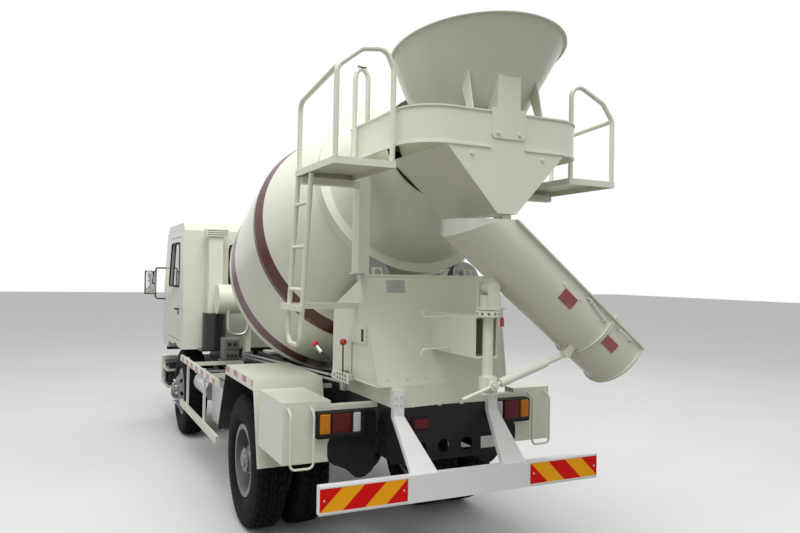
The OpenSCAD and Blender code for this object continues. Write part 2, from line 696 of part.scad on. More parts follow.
module guard_band() color(cream) shifted() {
    // Wall with a lip along its top and its bottom: [height of the foot, height, reach outwards]
    for (ring = [[0, band_h, 0], [0, 10, lip], [band_h - 10, 10, lip]])
        translate([0, 0, band_low + ring[0]]) linear_extrude(ring[1]) difference() {
            band_outline(-ring[2]);
            union() {
                band_outline(band_t);
                translate([600, -band_y - 50]) square([100, 2 * band_y + 100]);
                translate([band_x - 20, -plate_y - seat]) square([20, 2 * (plate_y + seat)]);
            }
        }
    both_sides()
        box(pillar_x[0] + 10, pillar_x[1] - 10, pillar_y[1], band_y - band_t + 1, band_low + 40, band_top - 40);
}

rim_x = 25;
rim_z = 3440;
rim_long = 570;
rim_wide = 540;
rim_tilt = 8.65;
hopper_t = 6;
spout_r = 290;
stay_y = 245;

// A thin oval disc, half as long in x as long, half as wide in y as wide
module oval(x, z, long, wide, tilt) {
    translate([x, 0, z]) rotate([0, tilt, 0]) scale([long / wide, 1, 1]) cylinder(h = 2, r = wide, $fn = 48);
}

module hopper_body(inset) {
    rise = inset > 0 ? 3 : 0;
    hull() {
        oval(rim_x, rim_z + rise, rim_long - inset, rim_wide - inset, rim_tilt);
        oval(120, 3050, 370 - inset, 350 - inset, 0);
    }
    hull() {
        oval(120, 3050, 370 - inset, 350 - inset, 0);
        at_drum(drum_len - 60)
            translate([10, 0, inset > 0 ? -3 : 0]) cylinder(h = 2, r = spout_r - inset, $fn = 48);
    }
}

module feed_hopper() color(cream) shifted() {
    difference() {
        union() {
            hopper_body(0);
            oval(rim_x, rim_z - 12, rim_long + 10, rim_wide + 10, rim_tilt);
        }
        hopper_body(hopper_t);
        at_drum(drum_len - 500) difference() {
            cylinder(h = 500 + 25, r = 800);
            translate([0, 0, -1]) cylinder(h = 530, r = mouth_r - drum_wall - 35);
        }
    }
    // Plate that carries the hopper on the guard band
    difference() {
        union() {
            cross_sheet(band_x - 8, band_x) polygon([[-plate_y, 2860], [-100, 2840], [100, 2840], [plate_y, 2860],
                [plate_y, 3020],
                [80, 3020], [80, 3215], [-80, 3215], [-80, 3020], [-plate_y, 3020]]);
            for (side = [-1, 1]) {
                box(band_x - 1, 0, side * 76 - 4, side * 76 + 4, band_top + 2, 3200);
                // Stay from the band's top up to the hopper
                side_sheet(side * stay_y - 4, side * stay_y + 4) polygon([[band_x, band_top + seat],
                    [band_x + 60, band_top + seat], [band_x + 170, 3230], [band_x + 60, 3230]]);
            }
        }
        hopper_body(1);
    }
}

collector_t = 6;
collector_low = 2400;
collector_x = 400;
outlet_y = 66;
outlet_x = -100;

module collector() color(cream) shifted() difference() {
    union() {
        cross_sheet(band_x, band_x + 8) polygon([[-415, band_low], [415, band_low],
            [outlet_y, collector_low], [-outlet_y, collector_low]]);
        both_sides() cross_sheet(band_x + 7, collector_x) polygon([[415, band_low], [outlet_y, collector_low],
            [outlet_y - collector_t - 2, collector_low], [415 - collector_t - 3, band_low]]);
        box(outlet_x, collector_x, -outlet_y, outlet_y, collector_low, collector_low + collector_t);
    }
    at_drum(drum_len - 600) cylinder(h = 620, r1 = cone_r(drum_len - 600) + 35, r2 = mouth_r + 35);
}

// Platforms, rails and ladder

platform_x = [-130, 560];
platform_in = 630;
deck_t = 6;

module platforms() color(cream) shifted() both_sides() {
    difference() {
        box(platform_x[0], platform_x[1], platform_in, platform_y, platform_top - 40, platform_top);
        box(platform_x[0] + 5, platform_x[1] - 5, platform_in + 5, platform_y - 5, platform_top - 41, platform_top - deck_t);
    }
    box(pillar_x[0] + 20, platform_x[1], pillar_y[1], ladder_y - 22, platform_top - 85, platform_top - 40);
}

module railings() color(cream) shifted() {
    z0 = platform_top;
    back = platform_x[0] + 14;
    front = platform_x[1] - 30;
    bent_bar([[back, platform_y - 16, z0], [back, platform_y - 16, 3190], [back, 850, 3310], [back, 700, 3330],
        [back, 650, 3220], [back, 650, z0]], 32);
    bent_bar([[back, platform_y - 16, 3190], [front, platform_y - 16, 3115], [front, platform_y - 16, z0]], 32);
    bent_bar([[front - 60, 650, z0], [front - 60, 650, 3385], [front - 60, 560, 3385],
        [front - 60, 560, band_top - 20 + seat]], 32);
    bent_bar([[back, -platform_y + 16, z0], [back, -platform_y + 16, 3100], [back, -920, 3207], [back, -700, 3310],
        [back, -650, 3250], [back, -650, z0]], 32);
    bent_bar([[back, -platform_y + 16, 3100], [front, -platform_y + 16, 3060], [front, -platform_y + 16, z0]], 32);
}

ladder_y = 1000;
ladder_low = 1575;
rung_pitch = 270;
ladder_high = platform_top - 40 - 3;

module ladder() color(cream) shifted() {
    bent_bar([[290, ladder_y, ladder_high], [430, ladder_y, 1740], [452, ladder_y, ladder_low],
        [692, ladder_y, ladder_low], [700, ladder_y, 1740], [545, ladder_y, ladder_high]], 32, [0, 1, 0]);
    for (i = [1 : 3]) {
        z = ladder_low + 80 + i * rung_pitch;
        part = (z - 1740) / (platform_top - 40 - 1740);
        rod([430 - 140 * part, ladder_y, z], [700 - 155 * part, ladder_y, z], 26);
    }
    box(400, 780, ladder_y + 5, ladder_y + 32, 1790, 1830);
    box(725, 780, side_y, ladder_y + 6, 1790, 1830);
}

hose_y = 719;
hose_r = 16;
hose_len = 60;

module water_tank() color(cream) shifted() {
    x = cab_back_x - 380;
    z = 1710;
    across(x, -720, 720, z, 170);
    across(x, -hose_y - hose_len, -hose_y, z, hose_r);
    translate([x, 0, z + 160]) cylinder(h = 40, r = 60);
    both_sides() {
        across(x, 340, 380, z, 174);
        difference() {
            box(x - 60, x + 60, 330, 390, rail_top, z - 70);
            across(x, -721, 721, z, 170);
        }
    }
}

module control_rods() color(steel) shifted() {
    far = cab_back_x - 780;
    for (dz = [0, 34]) rod([935, side_y + 20, 1250 + dz], [far, 460, 1080 + dz], 22);
    box(880, 940, side_y + panel_t, side_y + 40, 1200, 1340);
    box(far, far + 20, rail_y - 8, 510, rail_top, 1140);
}

module air_intake() color(black) shifted() {
    x = cab_back_x - 170;
    box(x - 110, x + 110, rail_y - 60, 860, 1100, 1120);
    box(x - 90, x - 50, rail_y - 60, rail_y - 20, rail_top, 1101);
    translate([x, 700, 1119]) cylinder(h = 420, r = 135);
    box(x - 40, x + 80, 620, 780, 1538, 2440);
    // Rain cap with its louvres
    difference() {
        box(x - 70, x + 100, 560, 820, 2439, 2520);
        for (z = [2450, 2474, 2498]) box(x - 71, x - 45, 575, 805, z, z + 12);
    }
}

// Cab: one outline for its outside, and the same outline drawn in by the wall for its inside

cab_low = 1020;
screen_low = 1780;
screen_high = 2490;
arch_r = 605;
tilt_x = cab_front_x - 90;
tilt_z = 930;
tilt_r = 35;
door_x = [front_axle_x - 300, front_axle_x + 700];
door_low = 1180;
door_high = 2440;
screen_low_x = cab_front_x - 30;
screen_high_x = cab_front_x - 280;

module cab_outline() {
    polygon([[cab_back_x, cab_floor - 50], [cab_back_x, cab_top - 90], [cab_back_x + 80, cab_top],
        [screen_high_x - 170, cab_top], [screen_high_x, screen_high], [screen_low_x, screen_low],
        [cab_front_x, screen_low - 200], [cab_front_x, cab_low], [front_axle_x + 600, cab_low],
        [front_axle_x + 560, cab_floor - 50]]);
}

module door_outline(grow) {
    offset(delta = grow) polygon([[door_x[0], door_low], [door_x[0], door_high], [door_x[1] - 230, door_high],
        [door_x[1], screen_low], [door_x[1], door_low]]);
}

module window_outline() {
    polygon([[door_x[0] + 90, 1830], [door_x[0] + 90, door_high - 70], [door_x[1] - 290, door_high - 70],
        [door_x[1] - 95, 1830]]);
}

module screen_cut(inset, y) {
    dx = (screen_low_x - screen_high_x) / (screen_high - screen_low);
    polygon([[screen_high_x + 40 * dx - 200, screen_high - 40 - inset], [screen_high_x + 500, screen_high - 40 - inset],
        [screen_low_x + 500, screen_low + 60 + inset], [screen_low_x - 250, screen_low + 60 + inset]]);
}

hinge_at = [1320, 1640];
hinge_long = 60;
hinge_r = 12;
hinge_ear = 25;
hinge_pin_r = 6;

module at_door_hinge(z) both_sides() translate([door_x[1] - door_gap / 2, cab_y, z - seat]) children();

module cab_shell() color(cream) shifted() {
    cab_box();
    for (z = hinge_at) at_door_hinge(z) {
        for (z0 = [-hinge_ear, hinge_long + 2 * seat]) translate([0, 0, z0]) cylinder(h = hinge_ear, r = hinge_r);
        translate([0, 0, -hinge_ear / 2]) cylinder(h = hinge_long + hinge_ear, r = hinge_pin_r);
    }
}

module cab_box() difference() {
    union() {
        side_sheet(-cab_y, cab_y) cab_outline();
        both_sides() {
            across(tilt_x, 250, 290, tilt_z, 60);
            box(tilt_x - 60, tilt_x + 60, 250, 290, tilt_z, cab_low + 20);
        }
    }
    across(tilt_x, -300, 300, tilt_z, tilt_r + run);
    difference() {
        box(cab_back_x - 10, cab_front_x - 30, -rail_y - 25, rail_y + 25, rail_top - 60, rail_top + 14);
        both_sides() box(tilt_x - 61, tilt_x + 61, 250, 290, rail_top - 61, rail_top + 15);
    }
    for (z = hinge_at) at_door_hinge(z) cylinder(h = hinge_long + 2 * seat, r = hinge_r + 5);
    side_sheet(-cab_y + cab_wall, cab_y - cab_wall) offset(delta = -cab_wall) cab_outline();
    for (side = [-1, 1]) side_sheet(side * cab_y - cab_wall - 5, side * cab_y + cab_wall + 5) door_outline(0);
    side_sheet(-cab_y + 90, cab_y - 90) screen_cut(0);
    box(cab_back_x - 10, cab_back_x + cab_wall + 10, -500, 500, 1850, 2350);
    across(front_axle_x, -cab_y - 1, cab_y + 1, axle_z, arch_r);
}

module cab_glass() color([0.2, 0.25, 0.26, 0.4]) shifted() {
    intersection() {
        difference() {
            side_sheet(-cab_y + 90 + seat, cab_y - 90 - seat) offset(delta = -20) cab_outline();
            side_sheet(-cab_y, cab_y) offset(delta = -26) cab_outline();
        }
        side_sheet(-cab_y, cab_y) screen_cut(seat);
    }
    box(cab_back_x + 20, cab_back_x + 26, -500 + seat, 500 - seat, 1850 + seat, 2350 - seat);
}

module door() shifted() difference() {
    union() {
        difference() {
            side_sheet(cab_y - cab_wall, cab_y) door_outline(-door_gap);
            for (z = hinge_at) at_door_hinge(z) translate([0, 0, -hinge_ear - 5])
                cylinder(h = hinge_long + 2 * hinge_ear + 10, r = hinge_r + 5);
        }
        for (z = hinge_at) translate([door_x[1] - door_gap / 2, cab_y, z]) {
            cylinder(h = hinge_long, r = hinge_r);
            translate([-30, -16, 0]) cube([20, 18, hinge_long]);
            translate([-12, -hinge_r, 0]) cube([12, hinge_r, hinge_long]);
        }
    }
    for (z = hinge_at) at_door_hinge(z) cylinder(h = hinge_long + 1, r = hinge_pin_r + run);
    side_sheet(cab_y - cab_wall - 1, cab_y + 1) window_outline();
}
module door_left() color(cream) door();
module door_right() color(cream) mirror([0, 1, 0]) door();
module door_glass() shifted() side_sheet(cab_y - 28, cab_y - 22) offset(delta = -seat) window_outline();
module door_glass_left() color([0.2, 0.25, 0.26, 0.4]) door_glass();
module door_glass_right() color([0.2, 0.25, 0.26, 0.4]) mirror([0, 1, 0]) door_glass();

module seats() color(black) shifted() both_sides() {
    x0 = front_axle_x - 330;
    box(x0 + 100, x0 + 520, 330, 740, cab_floor, cab_floor + 280);
    box(x0 + 80, x0 + 580, 300, 780, cab_floor + 280, cab_floor + 400);
    side_sheet(310, 770) polygon([[x0 - 60, cab_floor + 980], [x0 + 40, cab_floor + 980], [x0 + 180, cab_floor + 399],
        [x0 + 60, cab_floor + 399]]);
}

module dashboard() color(black) shifted() {
    side_sheet(-cab_y + cab_wall + 8, cab_y - cab_wall - 8) polygon([[cab_front_x - cab_wall - seat, cab_floor + 250],
        [cab_front_x - cab_wall - seat, 1560], [cab_front_x - 90, 1720], [cab_front_x - 380, 1740],
        [cab_front_x - 420, 1600], [cab_front_x - 330, cab_floor + 250]]);
    translate([cab_front_x - 560, 540, 1700]) rotate([0, -38, 0]) {
        rotate_extrude($fn = 48) translate([215, 0]) circle(r = 14, $fn = 24);
        for (a = [30, 150, 270]) rotate([0, 0, a]) translate([0, -16, 0]) cube([212, 32, 12]);
        cylinder(h = 16, r = 60);
        translate([0, 0, -260]) cylinder(h = 272, r = 30);
    }
}

module grille() color(black) shifted() {
    for (i = [0 : 5]) box(cab_front_x, cab_front_x + 18, -560, 560, 1160 + 62 * i, 1200 + 62 * i);
    for (y = [-560, -190, 180, 540]) box(cab_front_x, cab_front_x + 14, y, y + 20, 1160, 1510);
}

module mirrors() color(black) shifted() both_sides() {
    x = screen_low_x - 60;
    bent_bar([[x - 90, cab_y + seat, 2060], [x - 90, cab_y + 50, 2060], [x + 60, 1150, 2060], [x + 60, 1150, 1640],
        [x, cab_y + 50, 1640], [x, cab_y + seat, 1640]], 20);
    box(x + 40, x + 95, 1140, 1290, 1700, 2020);
}

module front_bumper() color(cream) shifted() {
    towing_jaw();
    back = cab_front_x - 20;
    difference() {
        box(back, front_x, -cab_y, cab_y, 470, 850);
        box(back - 1, front_x - 60, -cab_y + 60, cab_y - 60, 469, 790);
        both_sides() box(front_x - 40, front_x + 1, 640, 900, 560, 720);
        box(front_x - 62, front_x + 1, -tow_half, tow_half, tow_z - tow_h / 2 - 15, tow_z + tow_h / 2 + 15);
    }
    both_sides() {
        box(front_axle_x + 640, back + 1, 800, cab_y, 470, 500);
        box(front_axle_x + 640, back + 1, 800, cab_y, 690, 720);
        box(front_axle_x + 640, back + 1, 795, 801, 470, 850);
        box(rail_front_x - 60, front_x - 60, rail_y - 70, rail_y - 10, rail_bottom + rail_t, rail_bottom + rail_t + 40);
        box(rail_front_x, back + 21, rail_y - 70, 800, 560, 600);
        box(rail_front_x - 60, rail_front_x, rail_y - 70, rail_y - 10, 560, rail_bottom);
    }
}

// Towing jaw: two plates in a window of the bumper, with an upright hole for the pin
tow_r = 21;
tow_x = front_x + tow_r + 5;
tow_z = 700;
tow_h = 130;
tow_half = 80;

module towing_jaw() {
    box(front_x - 72, front_x - 58, -tow_half - 20, tow_half + 20, tow_z - tow_h / 2 - 30, tow_z + tow_h / 2 + 30);
    difference() {
        for (side = [-1, 1]) {
            z0 = tow_z + side * (tow_h / 2 - 10) - 10;
            translate([tow_x, 0, z0]) cylinder(h = 20, r = tow_r + 19);
            box(front_x - 59, tow_x, -tow_r - 19, tow_r + 19, z0, z0 + 20);
        }
        translate([tow_x, 0, tow_z - tow_h]) cylinder(h = 2 * tow_h, r = tow_r);
    }
}

module headlamps() color([0.9, 0.9, 0.9]) shifted() both_sides()
    box(front_x - 40 + seat, front_x - 2, 640 + seat, 900 - seat, 560 + seat, 720 - seat);

// Discharge chute

post_low = 1320;
post_high = 1915;
collar = [1340, 1420];
collar_r = 52;
pin_r = 12;
// Room round the strut's upper pin, more than the eye drifts from it as the chute tilts
eye_play = 2.6;
strut_off = -75;
bracket_y = 80;
arm_z = 1530;
hook_x = 170;
index_r = 80;
index_h = 36;
index_holes = 12;
lock_at = 98;
lock_turn = -95;

module chute_post() color(cream) shifted() {
    translate([post_x, 0, post_low]) cylinder(h = post_high - post_low, r = post_r);
    translate([post_x, 0, post_low - 8]) cylinder(h = 12, r = 50);
    // Index ring, drilled all round for the swivel's lock
    translate([post_x, 0, index_z - index_h]) difference() {
        cylinder(h = index_h, r = index_r);
        for (i = [0 : index_holes - 1]) rotate([0, 0, 360 / index_holes * i]) translate([post_r + 12, 0, index_h / 2])
            rotate([0, 90, 0]) cylinder(h = index_r, r = 9, $fn = 24);
    }
    // Box arm from the post to the rear panel
    difference() {
        union() {
            for (z = [arm_z, index_z - index_h - 10]) box(post_x, panel_x(z) + 60, -bracket_y, bracket_y, z, z + 10);
            for (side = [-1, 1]) box(post_x + 20, panel_lean_x, side * (bracket_y - 4) - 4, side * (bracket_y - 4) + 4,
                arm_z + 2, index_z - index_h - 2);
        }
        translate([stand_x, 0, fold_z]) rotate([0, atan((panel_lean_x - stand_x) / (panel_top - fold_z)), 0])
            box(0, 400, -500, 500, 0, 900);
    }
    // Hose hooks on the arm's left plate: [height, end's rise]
    for (hook = [[1762, 45], [1560, -45]]) bent_bar([[hook_x, bracket_y - 4, hook[0]],
        [hook_x, bracket_y + 205, hook[0]], [hook_x, bracket_y + 205, hook[0] + hook[1]]], 14);
}

module chute_swivel() color(cream) shifted() translate([post_x, 0, 0]) {
    difference() {
        union() {
            translate([0, 0, index_z + gap]) cylinder(h = post_high - index_z - gap, r = collar_r);
            box(-66, 66, -45, 45, index_z + gap, index_z + gap + 20);
            for (side = [-1, 1]) {
                box(side * 58.5 - 7.5, side * 58.5 + 7.5, -40, 40, index_z + gap, hinge_z);
                translate([side * 58.5 - 7.5, 0, hinge_z]) rotate([0, 90, 0]) cylinder(h = 15, r = 40);
            }
            translate([0, 0, collar[0]]) cylinder(h = collar[1] - collar[0], r = collar_r);
            box(-60, -30, -32, 32, collar[0], collar[1]);
            // Arm, link and handle of the lock
            rotate([0, 0, lock_turn]) {
                box(40, lock_at + 12, -12, 12, index_z + gap, index_z + gap + 12);
                translate([lock_at, 0, 1770]) cylinder(h = index_z + gap + 10 - 1770, r = 5);
                translate([lock_at, 0, 1722]) cylinder(h = 55, r1 = 12, r2 = 9);
            }
        }
        translate([0, 0, post_low - 10]) cylinder(h = post_high - post_low + 20, r = post_r + run);
    }
    translate([-64, 0, hinge_z]) rotate([0, 90, 0]) cylinder(h = 128, r = 15);
    translate([-100, 0, strut_foot_z]) rotate([0, 90, 0]) cylinder(h = 45, r = pin_r);
}

// Local x runs down the chute, y across it towards the cab, z square out of its bottom
module at_chute() {
    translate([post_x, 0, hinge_z]) rotate([0, 0, -90]) rotate([0, chute_slope, 0]) children();
}

rim_n = hinge_drop + trough_r + trough_side;

module trough_profile(inset) {
    r = trough_r - inset;
    translate([0, hinge_drop + trough_r]) union() {
        circle(r = r, $fn = 96);
        translate([-r, 0]) square([2 * r, trough_side + 400]);
    }
}
module trough(x0, x1) {
    difference() {
        cross_sheet(x0, x1) difference() {
            trough_profile(0);
            union() {
                trough_profile(chute_t);
                translate([-trough_r - 1, rim_n]) square([2 * trough_r + 2, 800]);
            }
        }
    }
    for (side = [-1, 1]) box(x0, x1, side * (trough_r + 10) - 12, side * (trough_r + 10) + 12, rim_n - 8, rim_n);
}

// Stiffening hoop round the outside of the trough
module hoop(x0, x1) cross_sheet(x0, x1) difference() {
    trough_profile(-12);
    union() {
        trough_profile(chute_t / 2);
        translate([-trough_r - 20, rim_n - 9]) square([2 * trough_r + 40, 800]);
    }
}

head_z = 2365;
head_far = 310;
fold_pin_n = rim_n + 14;
fold_x = trough_len + gap / 2;
fold_lug_y = trough_r + 8;

// The chute's head: the trough is closed by an upright round wall under the collector's outlet
module chute_head() {
    centre = [post_x, head_far - trough_r, 0];
    difference() {
        union() {
            at_chute() trough(-700, trough_len);
            at_chute() hoop(trough_len - 10, trough_len);
            intersection() {
                translate(centre + [0, 0, hinge_z]) difference() {
                    cylinder(h = 600, r = trough_r - 1, $fn = 96);
                    translate([0, 0, -1]) cylinder(h = 602, r = trough_r - chute_t - 2, $fn = 96);
                    translate([-300, -600, -1]) cube([600, 600, 602]);
                }
                at_chute() cross_sheet(-600, 0) trough_profile(0);
            }
        }
        difference() {
            translate([post_x - 300, centre[1], hinge_z - 50]) cube([600, 900, 1200]);
            translate(centre + [0, 0, hinge_z - 60]) cylinder(h = 1220, r = trough_r - 2, $fn = 96);
        }
        translate([post_x - 300, -1000, head_z]) cube([600, 2000, 1000]);
    }
}

// Hinge block under the trough and the two lugs for the strut
module chute_lugs() at_chute() difference() {
    union() {
        rotate([90, 0, 0]) translate([0, 0, -44]) cylinder(h = 88, r = 30);
        box(-30, 30, -44, 44, 0, hinge_drop + 8);
        for (d = [-14, 14]) {
            translate([strut_head_t, strut_off + d + 6, 8]) rotate([90, 0, 0]) cylinder(h = 12, r = 26);
            box(strut_head_t - 26, strut_head_t + 26, strut_off + d - 6, strut_off + d + 6, 8, hinge_drop + 22);
        }
    }
    rotate([90, 0, 0]) translate([0, 0, -50]) cylinder(h = 100, r = 15 + run);
    cross_sheet(-800, trough_len + 100) trough_profile(1);
}

module chute() color(cream) shifted() {
    chute_head();
    chute_lugs();
    at_chute() {
        translate([strut_head_t, strut_off, 8]) rotate([90, 0, 0]) translate([0, 0, -15]) cylinder(h = 30, r = pin_r);
        for (side = [-1, 1]) difference() {
            union() {
                box(fold_x - 60, fold_x, side * fold_lug_y - 4, side * fold_lug_y + 4, rim_n - 1, fold_pin_n - 2);
                translate([fold_x, side * fold_lug_y + 4, fold_pin_n]) rotate([90, 0, 0]) cylinder(h = 8, r = 12);
            }
            translate([fold_x, side * fold_lug_y + 5, fold_pin_n]) rotate([90, 0, 0]) cylinder(h = 10, r = 6 + run);
            box(trough_len, fold_x + 20, side * fold_lug_y - 5, side * fold_lug_y + 5, rim_n - 10, rim_n + 2);
        }
    }
}

module chute_fold() color(cream) shifted() at_chute() {
    trough(trough_len + gap, trough_len + gap + fold_len);
    hoop(trough_len + gap, trough_len + gap + 10);
    hoop(trough_len + gap + fold_len - 14, trough_len + gap + fold_len);
    for (side = [-1, 1]) {
        inner = fold_lug_y + 4 + seat;
        y0 = side > 0 ? inner : -inner - 8;
        box(fold_x + 3, fold_x + 60, y0, y0 + 8, rim_n - 8, fold_pin_n);
        translate([fold_x, y0 + 8, fold_pin_n]) rotate([90, 0, 0]) cylinder(h = 8, r = 12);
        translate([fold_x, side > 0 ? inner + 4 : -fold_lug_y + 6, fold_pin_n]) rotate([90, 0, 0])
            cylinder(h = 14 + seat, r = 6);
        box(fold_x - 2, fold_x + 10, y0, y0 + 8, fold_pin_n - 10, fold_pin_n);
    }
}

strut_head = [post_x + strut_off, -strut_head_t * cos(chute_slope) - 8 * sin(chute_slope),
    hinge_z - strut_head_t * sin(chute_slope) + 8 * cos(chute_slope)];
strut_foot = [post_x + strut_off, 0, strut_foot_z];
strut_dir = (strut_head - strut_foot) / norm(strut_head - strut_foot);
strut_l = norm(strut_head - strut_foot);

module strut_tube() color(cream) shifted() {
    difference() {
        union() {
            rod(strut_foot + strut_dir * 48, strut_foot + strut_dir * 400, 56);
            rod(strut_foot, strut_foot + strut_dir * 60, 25);
            rod(strut_foot - strut_dir * 230, strut_foot, 22);
            translate(strut_foot - [13, 0, 0]) rotate([0, 90, 0]) cylinder(h = 26, r = 30);
        }
        rod(strut_foot + strut_dir * 70, strut_foot + strut_dir * 401, 40 + 2 * run);
        translate(strut_foot - [40, 0, 0]) rotate([0, 90, 0]) cylinder(h = 80, r = pin_r + run);
    }
}

module strut_rod() color(steel) shifted() {
    difference() {
        union() {
            rod(strut_foot + strut_dir * 150, strut_head - strut_dir * 10, 40);
            translate(strut_head - [7, 0, 0]) rotate([0, 90, 0]) cylinder(h = 14, r = 24);
        }
        translate(strut_head - [40, 0, 0]) rotate([0, 90, 0]) cylinder(h = 80, r = pin_r + eye_play);
        for (side = [-1, 1]) translate(strut_head - [30 - side * 37, 55, 45]) cube([60, 110, 90]);
    }
}

frame();
subframe();
front_axle();
rear_axle();
driveline();
fuel_tank();
air_tanks();
side_guards();
rear_fenders();
rear_boxes();
underrun_bar();
tail_lamps();
rear_stand();
front_stand();
guard_band();
feed_hopper();
collector();
platforms();
railings();
ladder();
water_tank();
control_rods();
air_intake();
front_bumper();
headlamps();
chute_post();
cab_shell();
cab_glass();
seats();
dashboard();
grille();
mirrors();
door_left();
door_right();
door_glass_left();
door_glass_right();
knuckle_left();
knuckle_right();
tie_rod();
tyre_front_left();
tyre_front_right();
rim_front_left();
rim_front_right();
tyres_rear_left();
tyres_rear_right();
rims_rear_left();
rims_rear_right();
drum();
drum_blades();
roller_left();
roller_right();
chute_swivel();
chute();
chute_fold();
strut_tube();
strut_rod();
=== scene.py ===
"""Looks of the concrete mixer truck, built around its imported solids.

Lengths in the pieces are in millimetres and are measured as in the part's source: x forward from the rear
face of the underrun bar, y to the left, z up from the ground. place() turns them into the frame's metres.
"""
import math

import bmesh
import bpy
import numpy as np
from bpy.props import FloatProperty, FloatVectorProperty, IntProperty, PointerProperty
from bpy.types import Operator, Panel, PropertyGroup
from mathutils import Matrix, Vector


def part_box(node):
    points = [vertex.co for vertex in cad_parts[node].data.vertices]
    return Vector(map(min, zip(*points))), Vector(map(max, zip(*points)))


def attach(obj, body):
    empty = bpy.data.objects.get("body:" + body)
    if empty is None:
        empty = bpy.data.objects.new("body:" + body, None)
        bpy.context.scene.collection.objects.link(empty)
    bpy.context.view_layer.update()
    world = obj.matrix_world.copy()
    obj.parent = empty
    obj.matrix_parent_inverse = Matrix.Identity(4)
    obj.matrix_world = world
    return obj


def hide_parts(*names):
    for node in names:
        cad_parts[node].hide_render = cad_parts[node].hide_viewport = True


bl_info = {
    "name": "Concrete mixer truck",
    "version": (1, 0, 0),
    "blender": (4, 5, 0),
    "location": "3D View > Sidebar > Mixer",
    "description": "Dresses the solids of a concrete mixer truck with tyres, lamps, trim and finishes",
    "category": "Add Mesh",
}

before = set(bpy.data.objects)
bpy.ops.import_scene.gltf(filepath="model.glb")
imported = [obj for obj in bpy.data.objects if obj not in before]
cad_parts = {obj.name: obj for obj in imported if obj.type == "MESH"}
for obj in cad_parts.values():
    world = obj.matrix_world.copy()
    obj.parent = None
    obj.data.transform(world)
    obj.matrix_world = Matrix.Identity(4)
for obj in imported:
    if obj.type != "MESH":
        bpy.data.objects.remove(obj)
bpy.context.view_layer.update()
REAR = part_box("underrun_bar")[0].x

# The truck's main places and sizes in millimetres, and slopes in radians
AXLE_Z = 526.0
REAR_AXLE_X = 1820.0
FRONT_AXLE_X = 5320.0
FRONT_X = 6550.0
CAB_BACK_X = 4780.0
CAB_Y = 1030.0
DISC_FACE = 162.5
DRUM_AT = np.array([2700.0, 0.0, 2010.0])
DRUM_TILT = math.radians(22.0)
DRUM_ALONG = np.array([-math.cos(DRUM_TILT), 0.0, math.sin(DRUM_TILT)])
DRUM_R = 950.0
BARREL_LEN = 950.0
CONE_LEN = 1450.0
MOUTH_R = 430.0
CHUTE_AT = np.array([-155.0, 0.0, 1960.0])
CHUTE_SLOPE = math.radians(38.0)
TROUGH_R = 225.0
TROUGH_MID = 275.0
STAND_X = 362.0
PANEL_UP = (198.0, 0.0, 730.0)

# Directions
AHEAD = (1.0, 0.0, 0.0)
BACK = (-1.0, 0.0, 0.0)
LEFT = (0.0, 1.0, 0.0)
RIGHT = (0.0, -1.0, 0.0)
UP = (0.0, 0.0, 1.0)

# What the new pieces wear: the record's slot and the finish
PLASTIC = ("black_plastic", "grained plastic")
FLAP_RUBBER = ("black_plastic", "moulded rubber")
RED_GRIP = ("black_plastic", "red grip")
SATIN_BLACK = ("chassis_black", "chassis paint")
STRIPED_SHEET = ("cream_paint", "chevron sheeting")
CREAM = ("cream_paint", "cream gloss paint")
SIDE_TAPE = ("cream_paint", "red and white tape")
HUB_PAINT = ("cream_paint", "rim paint")
WHITE_SHEET = ("cream_paint", "white sheeting")
DRUM_PAINT = ("drum_paint", "drum paint")
MACHINE_GREY = ("engine_iron", "grey machine paint")
MIRROR_GLASS = ("glass", "mirror glass")
AMBER_LENS = ("lamp_plastic", "amber lens")
CLEAR_LENS = ("lamp_plastic", "clear lens")
RED_LENS = ("lamp_plastic", "red lens")
REFLECTOR = ("lamp_plastic", "red reflector")
SEAT_CLOTH = ("seat_cloth", "seat cloth")
ZINC = ("steel", "zinc plate")
SILVERED = ("tank_metal", "silvered bowl")
ZINC_PIPE = ("tank_metal", "zinc plate")
TYRE_RUBBER = ("tyre_rubber", "tyre rubber")


# Surfaces

def place(points):
    """Millimetres of the part's source turned into metres of the frame."""
    return np.asarray(points, float) * 0.001 + np.array([REAR, 0.0, 0.0])


def unit(v):
    """Each vector divided by its own length."""
    v = np.asarray(v, float)
    return v / np.linalg.norm(v, axis=-1, keepdims=True)


def grid_faces(rows, cols, ring_rows=False, ring_cols=True):
    """Four-cornered faces between neighbours on a grid, which may close on itself either way."""
    i = np.arange(rows if ring_rows else rows - 1)[:, None]
    j = np.arange(cols if ring_cols else cols - 1)[None, :]
    near, far = (i % rows) * cols, ((i + 1) % rows) * cols
    left, right = j % cols, (j + 1) % cols
    return np.stack([near + left, near + right, far + right, far + left], -1).reshape(-1, 4)


def shell(rings, ring_rows=False):
    """A closed surface from a stack of rings of points, (rings, points, 3), with a flat cap at each end."""
    rows, cols = rings.shape[:2]
    caps = [] if ring_rows else [np.arange(cols)[::-1], np.arange(cols) + (rows - 1) * cols]
    return rings.reshape(-1, 3), grid_faces(rows, cols, ring_rows), caps


def across_axes(axis):
    """Two directions square to an axis and to each other."""
    axis = unit(axis)
    first = unit(np.cross(axis, [0.0, 0.0, 1.0] if abs(axis[2]) < 0.9 else [1.0, 0.0, 0.0]))
    return first, np.cross(axis, first)


def turned(profile, base, axis, count=48):
    """A profile of (radius, height) turned about an axis:
    point = base + radius * (cos * first + sin * second) + height * axis."""
    profile = np.asarray(profile, float)
    first, second = across_axes(axis)
    angle = np.linspace(0, 2 * np.pi, count, endpoint=False)
    spoke = np.cos(angle)[:, None] * first + np.sin(angle)[:, None] * second
    rings = (np.asarray(base, float) + profile[:, 0, None, None] * spoke[None]
             + profile[:, 1, None, None] * unit(axis))
    return shell(rings)


